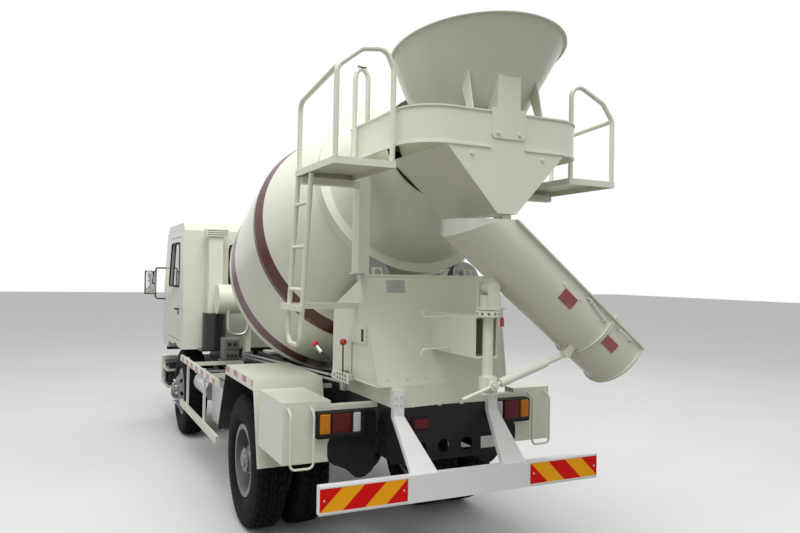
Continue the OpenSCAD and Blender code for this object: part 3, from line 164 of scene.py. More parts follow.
def turned_ring(profile, base, axis, count=96):
    """A closed profile turned about an axis, so that it closes both ways."""
    points, _, _ = turned(profile, base, axis, count)
    return points, grid_faces(len(profile), count, True), []


def rounded(points, radius, steps=6, ring=False):
    """A path whose corners are rounded: each corner P gives way to the curve
    (1-t)^2 * start + 2t(1-t) * P + t^2 * end, which starts and ends a radius away from P."""
    points = np.asarray(points, float)
    before = np.roll(points, 1, 0) if ring else points[:-2]
    corner = points if ring else points[1:-1]
    after = np.roll(points, -1, 0) if ring else points[2:]
    back, on = before - corner, after - corner
    reach = np.minimum(radius, 0.48 * np.minimum(np.linalg.norm(back, axis=1), np.linalg.norm(on, axis=1)))
    start, end = corner + unit(back) * reach[:, None], corner + unit(on) * reach[:, None]
    t = np.linspace(0, 1, steps)[None, :, None]
    curve = (1 - t) ** 2 * start[:, None] + 2 * t * (1 - t) * corner[:, None] + t ** 2 * end[:, None]
    curve = curve.reshape(-1, points.shape[1])
    return curve if ring else np.concatenate([points[:1], curve, points[-1:]])


def swept(profile, path, up=UP, ring=False):
    """A closed profile carried along a path: point = path + u * side + v * lift, where side is square to the
    path and to up, and lift is square to both."""
    profile, path = np.asarray(profile, float), np.asarray(path, float)
    ahead, behind = np.roll(path, -1, 0), np.roll(path, 1, 0)
    if not ring:
        ahead[-1], behind[0] = path[-1], path[0]
    along = unit(unit(ahead - path + 1e-9) + unit(path - behind + 1e-9)) if ring else unit(ahead - behind)
    side = unit(np.cross(along, up))
    lift = np.cross(side, along)
    rings = path[:, None] + profile[None, :, :1] * side[:, None] + profile[None, :, 1:] * lift[:, None]
    return shell(rings, ring)


def circle(diameter, count=10):
    """Points of a circle as (u, v)."""
    angle = np.linspace(0, 2 * np.pi, count, endpoint=False)
    return np.stack([np.cos(angle), np.sin(angle)], 1) * diameter / 2


def tube(path, diameter, up=UP, count=10, ring=False):
    """A round bar or hose along a path."""
    return swept(circle(diameter, count), path, up, ring)


def rounded_rectangle(width, height, radius, steps=5):
    """Outline of a rectangle about the origin, whose corners are quarter circles."""
    angle = np.linspace(0, np.pi / 2, steps)
    quarter = np.stack([np.cos(angle), np.sin(angle)], 1) * radius
    turn = np.array([[[1, 0], [0, 1]], [[0, -1], [1, 0]], [[-1, 0], [0, -1]], [[0, 1], [-1, 0]]], float)
    corner = np.array([[1, 1], [-1, 1], [-1, -1], [1, -1]]) * [width / 2 - radius, height / 2 - radius]
    return (np.einsum("kij,nj->kni", turn, quarter) + corner[:, None]).reshape(-1, 2)


def moulded(outline, steps, at, u, v):
    """An outline in the plane of u and v, drawn in and raised step by step: each ring is
    at + (outline - inset * outward) in that plane + rise * (u x v), for each (inset, rise)."""
    outline = np.asarray(outline, float)
    along = unit(np.roll(outline, -1, 0) - np.roll(outline, 1, 0))
    outward = np.stack([along[:, 1], -along[:, 0]], 1)
    steps, u, v = np.asarray(steps, float), unit(u), unit(v)
    flat = outline[None] - steps[:, :1, None] * outward[None]
    rings = (np.asarray(at, float) + flat[..., :1] * u + flat[..., 1:] * v
             + steps[:, 1, None, None] * np.cross(u, v))
    return shell(rings)


def plate(width, height, thick, at, u, v, radius=6.0, edge=1.0):
    """A flat plate with rounded corners and an eased edge, standing on the plane of u and v."""
    return moulded(rounded_rectangle(width, height, radius),
                   [(0, 0), (0, thick - edge), (edge, thick)], at, u, v)


def lens(width, height, rise, at, u, v, radius=8.0):
    """A lamp's lens: straight sides that turn over in a quarter circle to a crowned face. Each ring is the
    outline shrunk to a share of its size, and the crown rises by 2 * (1 - share^2) millimetres."""
    angle = np.linspace(0, np.pi / 2, 5)
    bend = rise * 0.5
    inset = bend * (1 - np.cos(angle))
    shares = np.stack([1 - 2 * inset / width, 1 - 2 * inset / height], 1)
    crown = np.array([0.75, 0.5, 0.2])[:, None] * shares[-1:]
    shares = np.concatenate([[[1, 1]], shares, crown])
    rises = np.concatenate([[0.0], rise - bend + bend * np.sin(angle), rise + 2 * (1 - crown[:, 0] ** 2)])
    flat = rounded_rectangle(width, height, radius, 6)[None] * shares[:, None]
    u, v = unit(u), unit(v)
    rings = (np.asarray(at, float) + flat[..., :1] * u + flat[..., 1:] * v
             + rises[:, None, None] * np.cross(u, v))
    return shell(rings)


def copies(part, turns, moves):
    """One shell set down many times: each copy is turn * point + move."""
    points, quads, caps = part
    moves = np.asarray(moves, float).reshape(-1, 3)
    turns = np.broadcast_to(turns, (len(moves), 3, 3))
    moved = np.einsum("kij,nj->kni", turns, points) + moves[:, None]
    start = np.arange(len(moves)) * len(points)
    return (moved.reshape(-1, 3), (quads[None] + start[:, None, None]).reshape(-1, 4),
            [cap + s for s in start for cap in caps])


def facing(normal):
    """Matrix that turns local z to a direction."""
    first, second = across_axes(normal)
    return np.stack([first, second, unit(normal)], 1)


def bolts(centres, normal, across=18.0, height=11.0):
    """Hexagon heads on washers. A ring of 12 points is a hexagon where the radius is
    apothem / cos(angle to the nearest flat's middle)."""
    angle = np.arange(12) * np.pi / 6
    hexagon = across / 2 / np.cos((angle + np.pi / 6) % (np.pi / 3) - np.pi / 6)
    spoke = np.stack([np.cos(angle), np.sin(angle)], 1)
    washer = np.full(12, across * 0.72)
    radii = np.stack([washer, washer, hexagon, hexagon, hexagon * 0.86])
    heights = np.array([0.0, 2.0, 2.0, height * 0.9, height])
    rises = np.broadcast_to(heights[:, None, None], (5, 12, 1))
    rings = np.concatenate([radii[..., None] * spoke[None], rises], 2)
    return copies(shell(rings), facing(normal), centres)


def upright_loop(x, y_start, z_start, y_end, z_end, radius, steps):
    """A closed rectangle with rounded corners, in a plane square to the truck's length."""
    corners = [[x, y_start, z_start], [x, y_start, z_end], [x, y_end, z_end], [x, y_end, z_start]]
    return rounded(corners, radius, steps, True)


def drum_point(s, up=0.0, side=0.0):
    """A place in the drum's own frame: s along its axis to the rear, up square to it, side to the left."""
    lift = np.array([math.sin(DRUM_TILT), 0.0, math.cos(DRUM_TILT)])
    return DRUM_AT + s * DRUM_ALONG + up * lift + side * np.array(LEFT)


def chute_point(down, side, n):
    """A place in the chute's own frame: down the trough, sideways towards the cab, and up, square to it."""
    c, s = math.cos(CHUTE_SLOPE), math.sin(CHUTE_SLOPE)
    down, side, n = np.broadcast_arrays(*(np.asarray(a, float) for a in (down, side, n)))
    return np.stack([CHUTE_AT[0] + side, CHUTE_AT[1] - down * c - n * s, CHUTE_AT[2] - down * s + n * c], -1)


class Form:
    """The closed shells of one piece."""

    def __init__(self, *parts):
        self.points, self.faces, self.count = [], [], 0
        self.add(*parts)

    def add(self, *parts):
        for points, quads, caps in parts:
            self.points.append(points)
            self.faces += (quads + self.count).tolist() + [(cap + self.count).tolist() for cap in caps]
            self.count += len(points)
        return self

    def both_sides(self):
        """Adds the mirror image across the truck's middle, with its faces turned round."""
        points = np.concatenate(self.points)
        self.faces += [[i + self.count for i in reversed(face)] for face in self.faces]
        self.points = [points, points * [1, -1, 1]]
        self.count *= 2
        return self


def piece(name, form, wear, body="chassis", sharp=35.0, bevel=0.0):
    """Puts a form into a mesh object at the origin, which rides on a body. wear holds the record's slot,
    which is not used, and the finish that it shows."""
    slot, finish = wear
    mesh = bpy.data.meshes.new(name)
    mesh.from_pydata(place(np.concatenate(form.points)).tolist(), [], form.faces)
    work = bmesh.new()
    work.from_mesh(mesh)
    bmesh.ops.recalc_face_normals(work, faces=work.faces)
    work.to_mesh(mesh)
    work.free()
    mesh.shade_smooth()
    mesh.set_sharp_from_angle(angle=math.radians(sharp))
    mesh.materials.append(bpy.data.materials[finish])
    obj = bpy.data.objects.new(name, mesh)
    bpy.context.scene.collection.objects.link(obj)
    if bevel:
        eased = obj.modifiers.new("eased edges", "BEVEL")
        eased.width, eased.segments, eased.limit_method = bevel * 0.001, 2, "ANGLE"
    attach(obj, body)
    return obj


# Finishes

class Finish:
    """Builds one procedural material. Patterns read the piece's own coordinates, in metres of the frame."""

    def __init__(self, name, colour, roughness=0.5, metallic=0.0, **sockets):
        self.material = bpy.data.materials.new(name)
        self.material.use_nodes = True
        self.material.diffuse_color = (*colour[:3], 1.0)
        self.nodes, self.links = self.material.node_tree.nodes, self.material.node_tree.links
        self.nodes.clear()
        self.shader = self.nodes.new("ShaderNodeBsdfPrincipled")
        output = self.nodes.new("ShaderNodeOutputMaterial")
        self.links.new(self.shader.outputs[0], output.inputs[0])
        self.set("Base Color", (*colour[:3], 1.0))
        self.set("Roughness", roughness)
        self.set("Metallic", metallic)
        for socket, value in sockets.items():
            self.set(socket.replace("_", " "), value)
        self.colour = tuple(colour[:3])
        self.where = self.nodes.new("ShaderNodeTexCoord").outputs["Object"]

    def set(self, socket, value):
        """Sets one of the shader's inputs to a value or to another node's output."""
        if isinstance(value, bpy.types.NodeSocket):
            self.links.new(value, self.shader.inputs[socket])
        else:
            self.shader.inputs[socket].default_value = value
        return self

    def made(self, kind, *values, **settings):
        """A node with its settings and its inputs, each a number or another node's output."""
        node = self.nodes.new(kind)
        for key, value in settings.items():
            setattr(node, key, value)
        for i, value in enumerate(values):
            if isinstance(value, bpy.types.NodeSocket):
                self.links.new(value, node.inputs[i])
            elif value is not None:
                node.inputs[i].default_value = value
        return node

    def sum(self, operation, *values):
        """One step of arithmetic on numbers."""
        return self.made("ShaderNodeMath", *values, operation=operation).outputs[0]

    def vector(self, operation, *values):
        """Arithmetic with places and directions, which gives a number for a dot product."""
        node = self.made("ShaderNodeVectorMath", *values, operation=operation)
        return node.outputs["Value" if operation == "DOT_PRODUCT" else "Vector"]

    def part(self, axis):
        """One coordinate of the piece, in metres."""
        return self.made("ShaderNodeSeparateXYZ", self.where).outputs["XYZ".index(axis)]

    def stretched(self, scale):
        """The piece's coordinates, each multiplied by its own scale."""
        node = self.made("ShaderNodeMapping", self.where)
        node.inputs["Scale"].default_value = scale
        return node.outputs[0]

    def noise(self, scale, detail=4.0, roughness=0.5, where=None):
        """Cloudy patches, about 1 / scale metres wide."""
        node = self.made("ShaderNodeTexNoise", where or self.where)
        for key, value in (("Scale", scale), ("Detail", detail), ("Roughness", roughness)):
            node.inputs[key].default_value = value
        return node.outputs["Fac"]

    def cells(self, scale):
        """Distance from the middles of scattered cells, about 1 / scale metres wide."""
        node = self.made("ShaderNodeTexVoronoi", self.where)
        node.inputs["Scale"].default_value = scale
        return node.outputs["Distance"]

    def waves(self, scale, axis):
        """Even waves along one of the piece's axes."""
        node = self.made("ShaderNodeTexWave", self.where, bands_direction=axis)
        node.inputs["Scale"].default_value = scale
        return node.outputs["Fac"]

    def ramp(self, value, *stops, stepped=False):
        """A value turned into a number or a colour by stops of (place, number or colour)."""
        node = self.made("ShaderNodeValToRGB", value)
        band = node.color_ramp
        band.interpolation = "CONSTANT" if stepped else "LINEAR"
        while len(band.elements) < len(stops):
            band.elements.new(1.0)
        for element, (at, what) in zip(band.elements, stops):
            element.position = at
            element.color = (what, what, what, 1.0) if isinstance(what, (int, float)) else (*what[:3], 1.0)
        return node.outputs[0]

    def mix(self, factor, a, b):
        """Colour a where the factor is 0 and b where it is 1."""
        node = self.made("ShaderNodeMix", data_type="RGBA")
        for i, value in ((0, factor), (6, a), (7, b)):
            if isinstance(value, bpy.types.NodeSocket):
                self.links.new(value, node.inputs[i])
            else:
                node.inputs[i].default_value = (*value[:3], 1.0) if i else value
        return node.outputs[2]

    def bump(self, height, strength=0.2, distance=0.001):
        """Relief from a height, laid over any relief set before."""
        node = self.nodes.new("ShaderNodeBump")
        node.inputs["Strength"].default_value = strength
        node.inputs["Distance"].default_value = distance
        self.links.new(height, node.inputs["Height"])
        if self.shader.inputs["Normal"].is_linked:
            self.links.new(self.shader.inputs["Normal"].links[0].from_socket, node.inputs["Normal"])
        self.links.new(node.outputs[0], self.shader.inputs["Normal"])
        return self

    def window(self, value, low, high):
        """1 between low and high, else 0."""
        return self.sum("MULTIPLY", self.sum("GREATER_THAN", value, low), self.sum("LESS_THAN", value, high))

    def mottled(self, scale, amount, colour=None):
        """The colour, a little lighter and darker in soft patches."""
        base = np.array(self.colour if colour is None else colour)
        dark, light = base * (1 - amount), np.minimum(base * (1 + amount), 1)
        return self.ramp(self.noise(scale), (0.3, tuple(dark)), (0.7, tuple(light)))

    def dusty(self, colour, low=0.3, high=1.1, amount=0.12):
        """Road dust laid over a colour, thick near the ground and gone above high metres."""
        height = self.ramp(self.sum("MULTIPLY", self.part("Z"), 0.5), (low / 2, amount), (high / 2, 0.0))
        patch = self.ramp(self.noise(9.0, 6.0, 0.65), (0.35, 0.3), (0.7, 1.0))
        return self.mix(self.sum("MULTIPLY", height, patch), colour, (0.36, 0.33, 0.28))


def finishes(colours):
    """Makes all the truck's finishes. Nodes and pieces find them by name."""
    def gloss(name, colour, shade=None):
        """Sprayed gloss paint: faint mottle, road dust low down and the slight waves of a sprayed coat."""
        f = Finish(name, colour, 0.32, Specular_IOR_Level=0.4, Coat_Weight=0.25, Coat_Roughness=0.06)
        tone = f.mottled(3.0, 0.025)
        if shade:
            tone = shade(f, tone)
        f.set("Base Color", f.dusty(tone))
        f.bump(f.noise(7.0, 1.0), 0.06, 0.002)

    def banded(f, tone):
        """Two maroon bands round the drum, each between two places along its axis."""
        rest = f.vector("SUBTRACT", f.where, tuple(place(DRUM_AT)))
        along = f.vector("DOT_PRODUCT", rest, tuple(DRUM_ALONG))
        bands = f.sum("ADD", f.window(along, *colours.front_band), f.window(along, *colours.rear_band))
        return f.mix(bands, tone, tuple(colours.maroon))

    def scoured(f, tone):
        """Bare grey where concrete runs: inside the trough, within its radius of the trough's axis."""
        rest = f.vector("SUBTRACT", f.where, tuple(place(CHUTE_AT)))
        n = f.vector("DOT_PRODUCT", rest, (0.0, -math.sin(CHUTE_SLOPE), math.cos(CHUTE_SLOPE)))
        low = f.sum("MINIMUM", f.sum("SUBTRACT", n, TROUGH_MID / 1000), 0.0)
        side = f.made("ShaderNodeSeparateXYZ", rest).outputs[0]
        reach = f.sum("SQRT", f.sum("ADD", f.sum("MULTIPLY", low, low), f.sum("MULTIPLY", side, side)))
        inside = f.sum("LESS_THAN", reach, (TROUGH_R - 2.0) / 1000)
        streak = f.ramp(f.noise(16.0, 6.0, 0.6), (0.35, (0.52, 0.52, 0.49)), (0.7, (0.66, 0.66, 0.60)))
        return f.mix(f.sum("MULTIPLY", inside, 0.75), tone, streak)

    gloss("cream gloss paint", colours.cream)
    gloss("white gloss paint", colours.white)
    gloss("drum paint", colours.cream, banded)
    gloss("chute paint", colours.cream, scoured)

    def black_foot(f, tone):
        """The duct is cream, and the filter's housing below it is black."""
        return f.mix(f.sum("LESS_THAN", f.part("Z"), 1.54), tone, tuple(colours.plastic))

    gloss("intake duct paint", colours.cream, black_foot)

    def shaded_mudguard_inside(f, tone):
        """Painted shade: the mudguards' faces that look towards the rear axle are painted near-black, for the
        shade inside the mudguards.
        """
        rest = f.vector("SUBTRACT", f.where, tuple(place((REAR_AXLE_X, 0, AXLE_Z))))
        level = f.vector("MULTIPLY", rest, (1.0, 0.0, 1.0))
        away = f.vector("DOT_PRODUCT", level, f.made("ShaderNodeNewGeometry").outputs["Normal"])
        # Painted shade: near-black where the face looks towards the axle.
        return f.mix(f.sum("LESS_THAN", away, -0.05), tone, f.mottled(6.0, 0.2, (0.055, 0.055, 0.05)))

    # The mudguards carry painted shade on their inner faces.
    gloss("mudguard paint", colours.cream, shaded_mudguard_inside)

    f = Finish("chassis paint", colours.chassis, 0.45, Specular_IOR_Level=0.25)
    f.set("Base Color", f.dusty(f.mottled(5.0, 0.25), amount=0.01))
    f.set("Roughness", f.ramp(f.noise(20.0, 5.0), (0.3, 0.34), (0.7, 0.6)))
    f.bump(f.noise(220.0, 3.0), 0.08)

    f = Finish("worn steel", colours.steel, 0.4, 0.9)
    rust = f.ramp(f.noise(12.0, 8.0, 0.7), (0.58, 0.0), (0.72, 0.55))
    f.set("Base Color", f.mix(rust, f.mottled(30.0, 0.12), (0.16, 0.07, 0.035)))
    f.set("Roughness", f.ramp(f.noise(45.0, 5.0), (0.3, 0.28), (0.7, 0.55)))
    f.bump(f.noise(160.0, 5.0), 0.12)

    f = Finish("cast iron paint", colours.iron, 0.55)
    oily = f.ramp(f.noise(7.0, 6.0, 0.6), (0.4, 0.0), (0.7, 0.6))
    f.set("Base Color", f.mix(oily, f.mottled(9.0, 0.15), (0.045, 0.042, 0.04)))
    f.set("Roughness", f.ramp(f.noise(11.0, 5.0), (0.35, 0.35), (0.7, 0.7)))
    f.bump(f.noise(140.0, 6.0, 0.7), 0.35)

    f = Finish("brushed tank metal", colours.tank, 0.32, 0.85)
    brush = f.noise(240.0, 3.0, where=f.stretched((0.04, 1.0, 1.0)))
    f.set("Base Color", f.dusty(f.mottled(4.0, 0.06), amount=0.15))
    f.set("Roughness", f.ramp(brush, (0.3, 0.22), (0.7, 0.42)))
    f.bump(brush, 0.06, 0.0005)

    f = Finish("zinc plate", (0.55, 0.56, 0.56), 0.35, 0.9)
    f.set("Base Color", f.mottled(60.0, 0.1))
    f.bump(f.cells(120.0), 0.05)

    f = Finish("rim paint", colours.rim, 0.38, 0.25)
    f.set("Base Color", f.dusty(f.mottled(10.0, 0.1), high=1.05, amount=0.15))
    f.set("Roughness", f.ramp(f.noise(22.0), (0.3, 0.3), (0.7, 0.5)))
    f.bump(f.noise(180.0, 3.0), 0.06)

    f = Finish("tyre rubber", colours.rubber, 0.78, Specular_IOR_Level=0.1)
    f.set("Base Color", f.dusty(f.mottled(14.0, 0.25), 0.0, 0.7, 0.015))
    f.set("Roughness", f.ramp(f.noise(30.0, 5.0), (0.3, 0.66), (0.7, 0.88)))
    f.bump(f.noise(420.0, 3.0), 0.16, 0.0008)

    f = Finish("moulded rubber", (0.012, 0.012, 0.013), 0.7, Specular_IOR_Level=0.2)
    f.set("Base Color", f.dusty(f.mottled(18.0, 0.2), amount=0.01))
    f.bump(f.noise(300.0, 3.0), 0.14)

    f = Finish("grained plastic", colours.plastic, 0.55, Specular_IOR_Level=0.3)
    f.set("Base Color", f.mottled(25.0, 0.15))
    f.bump(f.cells(700.0), 0.22, 0.0008)

    f = Finish("seat cloth", (0.055, 0.057, 0.062), 0.9, Sheen_Weight=0.35, Sheen_Roughness=0.5)
    weave = f.sum("MULTIPLY", f.waves(160.0, "X"), f.waves(160.0, "Z"))
    f.set("Base Color", f.mix(weave, (0.035, 0.036, 0.04), (0.12, 0.12, 0.13)))
    f.bump(weave, 0.5, 0.0012)

    f = Finish("tinted glass", colours.glass, 0.02, Transmission_Weight=0.85, IOR=1.45)
    f.set("Roughness", f.ramp(f.noise(6.0, 5.0), (0.4, 0.01), (0.8, 0.06)))

    lamps = (("red lens", colours.lamp_red), ("amber lens", colours.lamp_amber),
             ("clear lens", (0.85, 0.87, 0.88)))
    for name, colour in lamps:
        f = Finish(name, colour, 0.25, Specular_IOR_Level=0.2, Coat_Weight=0.1, Coat_Roughness=0.03)
        ribs = f.sum("MULTIPLY", f.waves(22.0, "Y"), f.waves(22.0, "Z"))
        f.set("Base Color", f.mix(ribs, tuple(np.array(colour) * 0.55), colour))
        f.bump(ribs, 0.45, 0.002)

    f = Finish("silvered bowl", (0.8, 0.8, 0.8), 0.08, 1.0)
    f.set("Roughness", f.ramp(f.noise(40.0), (0.3, 0.05), (0.7, 0.14)))

    f = Finish("mirror glass", (0.75, 0.77, 0.78), 0.02, 1.0)
    f.set("Roughness", f.ramp(f.noise(9.0, 6.0), (0.45, 0.01), (0.8, 0.12)))

    f = Finish("chevron sheeting", colours.lamp_red, 0.5, Specular_IOR_Level=0.15)
    out = f.sum("ABSOLUTE", f.part("Y"))
    slant = f.sum("ADD", out, f.sum("MULTIPLY", f.part("Z"), colours.chevron_slope))
    slant = f.sum("SUBTRACT", slant, colours.chevron_start)
    turn = f.sum("FRACT", f.sum("DIVIDE", slant, colours.chevron_pitch))
    red, amber = tuple(colours.chevron_red), tuple(colours.chevron_amber)
    stripes = f.ramp(turn, (0.0, red), (0.5, amber), stepped=True)
    f.set("Base Color", f.mix(f.ramp(f.cells(380.0), (0.3, 0.0), (0.6, 0.08)), stripes, (0.30, 0.05, 0.01)))
    f.bump(f.cells(380.0), 0.06, 0.0006)

    f = Finish("white sheeting", (0.82, 0.82, 0.80), 0.3, Coat_Weight=0.5, Coat_Roughness=0.1)
    f.set("Base Color", f.ramp(f.cells(380.0), (0.3, (0.82, 0.82, 0.80)), (0.6, (0.72, 0.72, 0.70))))

    f = Finish("red and white tape", (0.55, 0.02, 0.02), 0.3, Coat_Weight=0.5, Coat_Roughness=0.1)
    step = f.sum("FRACT", f.sum("DIVIDE", f.part("X"), colours.tape_pitch))
    red = tuple(colours.tape_red)
    f.set("Base Color", f.ramp(step, (0.0, red), (0.47, (0.80, 0.76, 0.72)), stepped=True))
    f.bump(f.cells(320.0), 0.1, 0.0006)

    f = Finish("red reflector", colours.tape_red, 0.16, Coat_Weight=1.0)
    bright, deep = np.array(colours.tape_red) * 1.2, np.array(colours.tape_red) * 0.6
    f.set("Base Color", f.ramp(f.cells(260.0), (0.1, tuple(bright)), (0.6, tuple(deep))))
    f.bump(f.cells(260.0), 0.35, 0.0015)

    f = Finish("red grip", (0.55, 0.025, 0.02), 0.4, Coat_Weight=0.3)
    f.set("Base Color", f.mottled(40.0, 0.12))
    f.bump(f.noise(240.0), 0.1)

    f = Finish("grey machine paint", (0.125, 0.13, 0.12), 0.42)
    f.set("Base Color", f.mottled(8.0, 0.12))
    f.bump(f.noise(200.0), 0.1)


# What the CAD nodes wear
NODE_FINISH = {
    "mudguard paint": ["rear_fenders"],
    "white gloss paint": ["underrun_bar"],
    "cream gloss paint": ["side_guards", "rear_boxes", "rear_stand", "front_stand", "guard_band",
                          "feed_hopper", "collector", "platforms", "railings", "ladder", "water_tank",
                          "front_bumper", "chute_post", "cab_shell", "door_left", "door_right",
                          "chute_swivel", "strut_tube", "strut_rod"],
    "drum paint": ["drum"],
    "chute paint": ["chute", "chute_fold"],
    "chassis paint": ["frame", "subframe", "front_axle", "rear_axle"],
    "cast iron paint": ["driveline"],
    "brushed tank metal": ["fuel_tank", "air_tanks"],
    "rim paint": ["rim_front_left", "rim_front_right", "rims_rear_left", "rims_rear_right"],
    "intake duct paint": ["air_intake"],
    "grained plastic": ["dashboard", "grille", "mirrors"],
    "worn steel": ["control_rods", "knuckle_left", "knuckle_right", "tie_rod", "drum_blades", "roller_left",
                   "roller_right"],
    "tinted glass": ["cab_glass", "door_glass_left", "door_glass_right"],
    "clear lens": ["headlamps"],
}


def number(name, description, default, **limits):
    """A number that the panel shows."""
    return FloatProperty(name=name, description=description, default=default, **limits)


def colour(name, description, default):
    """A colour that the panel shows."""
    return FloatVectorProperty(name=name, description=description, default=default, subtype="COLOR", size=3,
                               min=0.0, max=1.0)


def band(name, default):
    """Where a band starts and ends along the drum, in metres."""
    return FloatVectorProperty(name=name, description="From where to where along the drum", default=default,
                               size=2, unit="LENGTH")


class MixerSizes(PropertyGroup):
    """Sizes of the pieces, in millimetres, and strengths of the lights"""

    tread_depth: number("Tread depth", "Depth of the grooves in the tyres", 15.0, min=4.0, max=20.0)
    tread_blocks: IntProperty(name="Tread blocks", description="Blocks round the shoulder of a tyre",
                              default=40, min=24, max=60)
    nut_across: number("Nut size", "Width across the flats of a wheel nut", 32.0)
    weld: number("Weld width", "Width of a weld bead", 9.0, min=3.0, max=16.0)
    plate_low: number("Marking plate's foot", "Height of the striped plates' lower edge", 668.0)
    plate_high: number("Marking plate's head", "Height of the striped plates' upper edge", 802.0)
    key_light: number("Key light", "Strength of the softbox over the truck", 980.0, unit="POWER")
    sky_light: number("Sky light", "Strength of the light from all round", 0.60, min=0.0, max=2.0)


class MixerColours(PropertyGroup):
    """Colours of the finishes and places of their stripes, in metres"""

    cream: colour("Cream", "Gloss paint of the cab and the mixer", (0.76, 0.77, 0.65))
    white: colour("White", "Gloss paint of the underrun bar", (0.83, 0.83, 0.83))
    maroon: colour("Maroon", "The two bands round the drum", (0.085, 0.008, 0.009))
    chassis: colour("Chassis", "Satin paint of the frame and the axles", (0.011, 0.011, 0.012))
    steel: colour("Steel", "Bare worn steel", (0.42, 0.42, 0.43))
    iron: colour("Iron", "Paint of the engine and the driveline", (0.11, 0.115, 0.12))
    tank: colour("Tank metal", "Fuel tank and air tanks", (0.55, 0.56, 0.57))
    rim: colour("Rims", "Paint of the wheel rims", (0.20, 0.205, 0.21))
    rubber: colour("Rubber", "Tyres", (0.010, 0.010, 0.011))
    plastic: colour("Plastic", "Moulded black trim", (0.017, 0.017, 0.018))
    glass: colour("Glass", "Tint of the windows", (0.40, 0.47, 0.46))
    lamp_red: colour("Red lens", "Tail and brake lamps", (0.16, 0.003, 0.005))
    lamp_amber: colour("Amber lens", "Direction lamps", (0.92, 0.30, 0.012))
    chevron_red: colour("Plate red", "Red stripes of the marking plates", (0.74, 0.002, 0.003))
    chevron_amber: colour("Plate amber", "Amber stripes of the marking plates", (1.0, 0.43, 0.008))
    tape_red: colour("Tape red", "Red squares of the side tape and the reflectors", (0.42, 0.02, 0.02))
    front_band: band("Front band", (0.07, 0.23))
    rear_band: band("Rear band", (0.90, 1.06))
    chevron_pitch: number("Stripe pitch", "One red and one amber stripe together", 0.2786, unit="LENGTH")
    chevron_start: number("Stripe start", "Where the first red stripe starts", 1.142, unit="LENGTH")
    chevron_slope: number("Stripe slope", "How far a stripe runs inwards for each metre it rises", 1.03)
    tape_pitch: number("Tape pitch", "One red and one white square together", 0.29, unit="LENGTH")


class MIXER_OT_finishes(Operator):
    """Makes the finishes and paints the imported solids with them"""

    bl_idname = "mixer.finishes"
    bl_label = "Finishes"

    def execute(self, context):
        finishes(context.scene.mixer_colours)
        for name, nodes in NODE_FINISH.items():
            for node in nodes:
                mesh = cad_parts[node].data
                mesh.materials.clear()
                mesh.materials.append(bpy.data.materials[name])
        return {"FINISHED"}


# Wheels

WHEELS = [
    ("front_left", "wheel_fl", FRONT_AXLE_X, 835.0, 1),
    ("front_right", "wheel_fr", FRONT_AXLE_X, -835.0, -1),
    ("rear_left_outer", "wheels_rl", REAR_AXLE_X, 900.0, 1),
    ("rear_left_inner", "wheels_rl", REAR_AXLE_X, 575.0, 1),
    ("rear_right_outer", "wheels_rr", REAR_AXLE_X, -900.0, -1),
    ("rear_right_inner", "wheels_rr", REAR_AXLE_X, -575.0, -1),
]


def tyre(sizes, x, y, side):
    """A tyre as a function of the angle round it and the way over its section. The section runs from bead to
    bead. The tread is sunk where the pattern says: zigzag grooves round the tyre, one on each side at
    0.17 + 0.035 * triangle wave of its width and a narrower one in the middle, and slanted grooves between
    blocks from there to the shoulder."""
    half = np.array([(258, 97), (272, 98), (290, 99), (302, 108), (318, 121), (345, 131), (388, 134.5),
                     (428, 131), (452, 126), (472, 122), (492, 116), (507, 108), (516, 101), (521, 93)])
    half_tread = 92.0
    way = np.linspace(0, len(half) - 1, 30)
    side_r = np.interp(way, np.arange(len(half)), half[:, 0])
    side_z = np.interp(way, np.arange(len(half)), half[:, 1])
    tread_z = np.linspace(half_tread, -half_tread, 47)
    radius = np.concatenate([side_r, AXLE_Z - 5 * (tread_z / half_tread) ** 2, side_r[::-1]])
    width = np.concatenate([side_z, tread_z, -side_z[::-1]])
    count = sizes.tread_blocks * 8
    angle = np.linspace(0, 2 * np.pi, count, endpoint=False)[:, None]
    w = width[None] / (2 * half_tread)
    turn = angle / (2 * np.pi) * sizes.tread_blocks
    zigzag = 0.035 * (4 * np.abs(turn % 1 - 0.5) - 1)
    on_tread = radius[None] > 500.0
    grooves = (np.abs(np.abs(w) - 0.17 - zigzag) < 0.028) | (np.abs(w - zigzag) < 0.012)
    slant = (turn + 1.3 * np.abs(w) + 0.5 * (w > 0)) % 1
    blocks = (np.abs(w) > 0.17 + zigzag) & (slant < 0.30)
    depth = np.where(grooves, 1.0, np.where(blocks, 0.85, 0.0)) * on_tread
    ribs = 2.0 * (np.abs(radius[None] - 486) < 12) * (np.sin(turn * 4 * np.pi) > 0)
    rings_r = radius[None] + ribs * 0.6 - sizes.tread_depth * depth
    raised = (1.6 * np.exp(-((radius[None] - 326) / 4.0) ** 2)
              + 1.4 * np.exp(-((radius[None] - 440) / 5.0) ** 2))
    rings_z = width[None] + np.sign(width[None]) * (raised + ribs) * (np.abs(width[None]) > 98)
    spoke = np.concatenate([np.cos(angle), np.zeros_like(angle), np.sin(angle)], 1)
    points = (np.array([x, y, AXLE_Z]) + rings_r[..., None] * spoke[:, None]
              + side * rings_z[..., None] * np.array(LEFT))
    return points.reshape(-1, 3), grid_faces(count, len(radius), True), []


class MIXER_OT_tyres(Operator):
    """Six treaded tyres in place of the plain ones"""

    bl_idname = "mixer.tyres"
    bl_label = "Tyres"

    def execute(self, context):
        stands_for = {"front_left": "tyre_front_left", "front_right": "tyre_front_right",
                      "rear_left_outer": "tyres_rear_left", "rear_left_inner": "tyres_rear_left",
                      "rear_right_outer": "tyres_rear_right", "rear_right_inner": "tyres_rear_right"}
        for name, body, x, y, side in WHEELS:
            form = Form(tyre(context.scene.mixer_sizes, x, y, side))
            obj = piece("tread_" + name, form, TYRE_RUBBER, body, 50.0)
            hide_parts(stands_for[name])
        return {"FINISHED"}


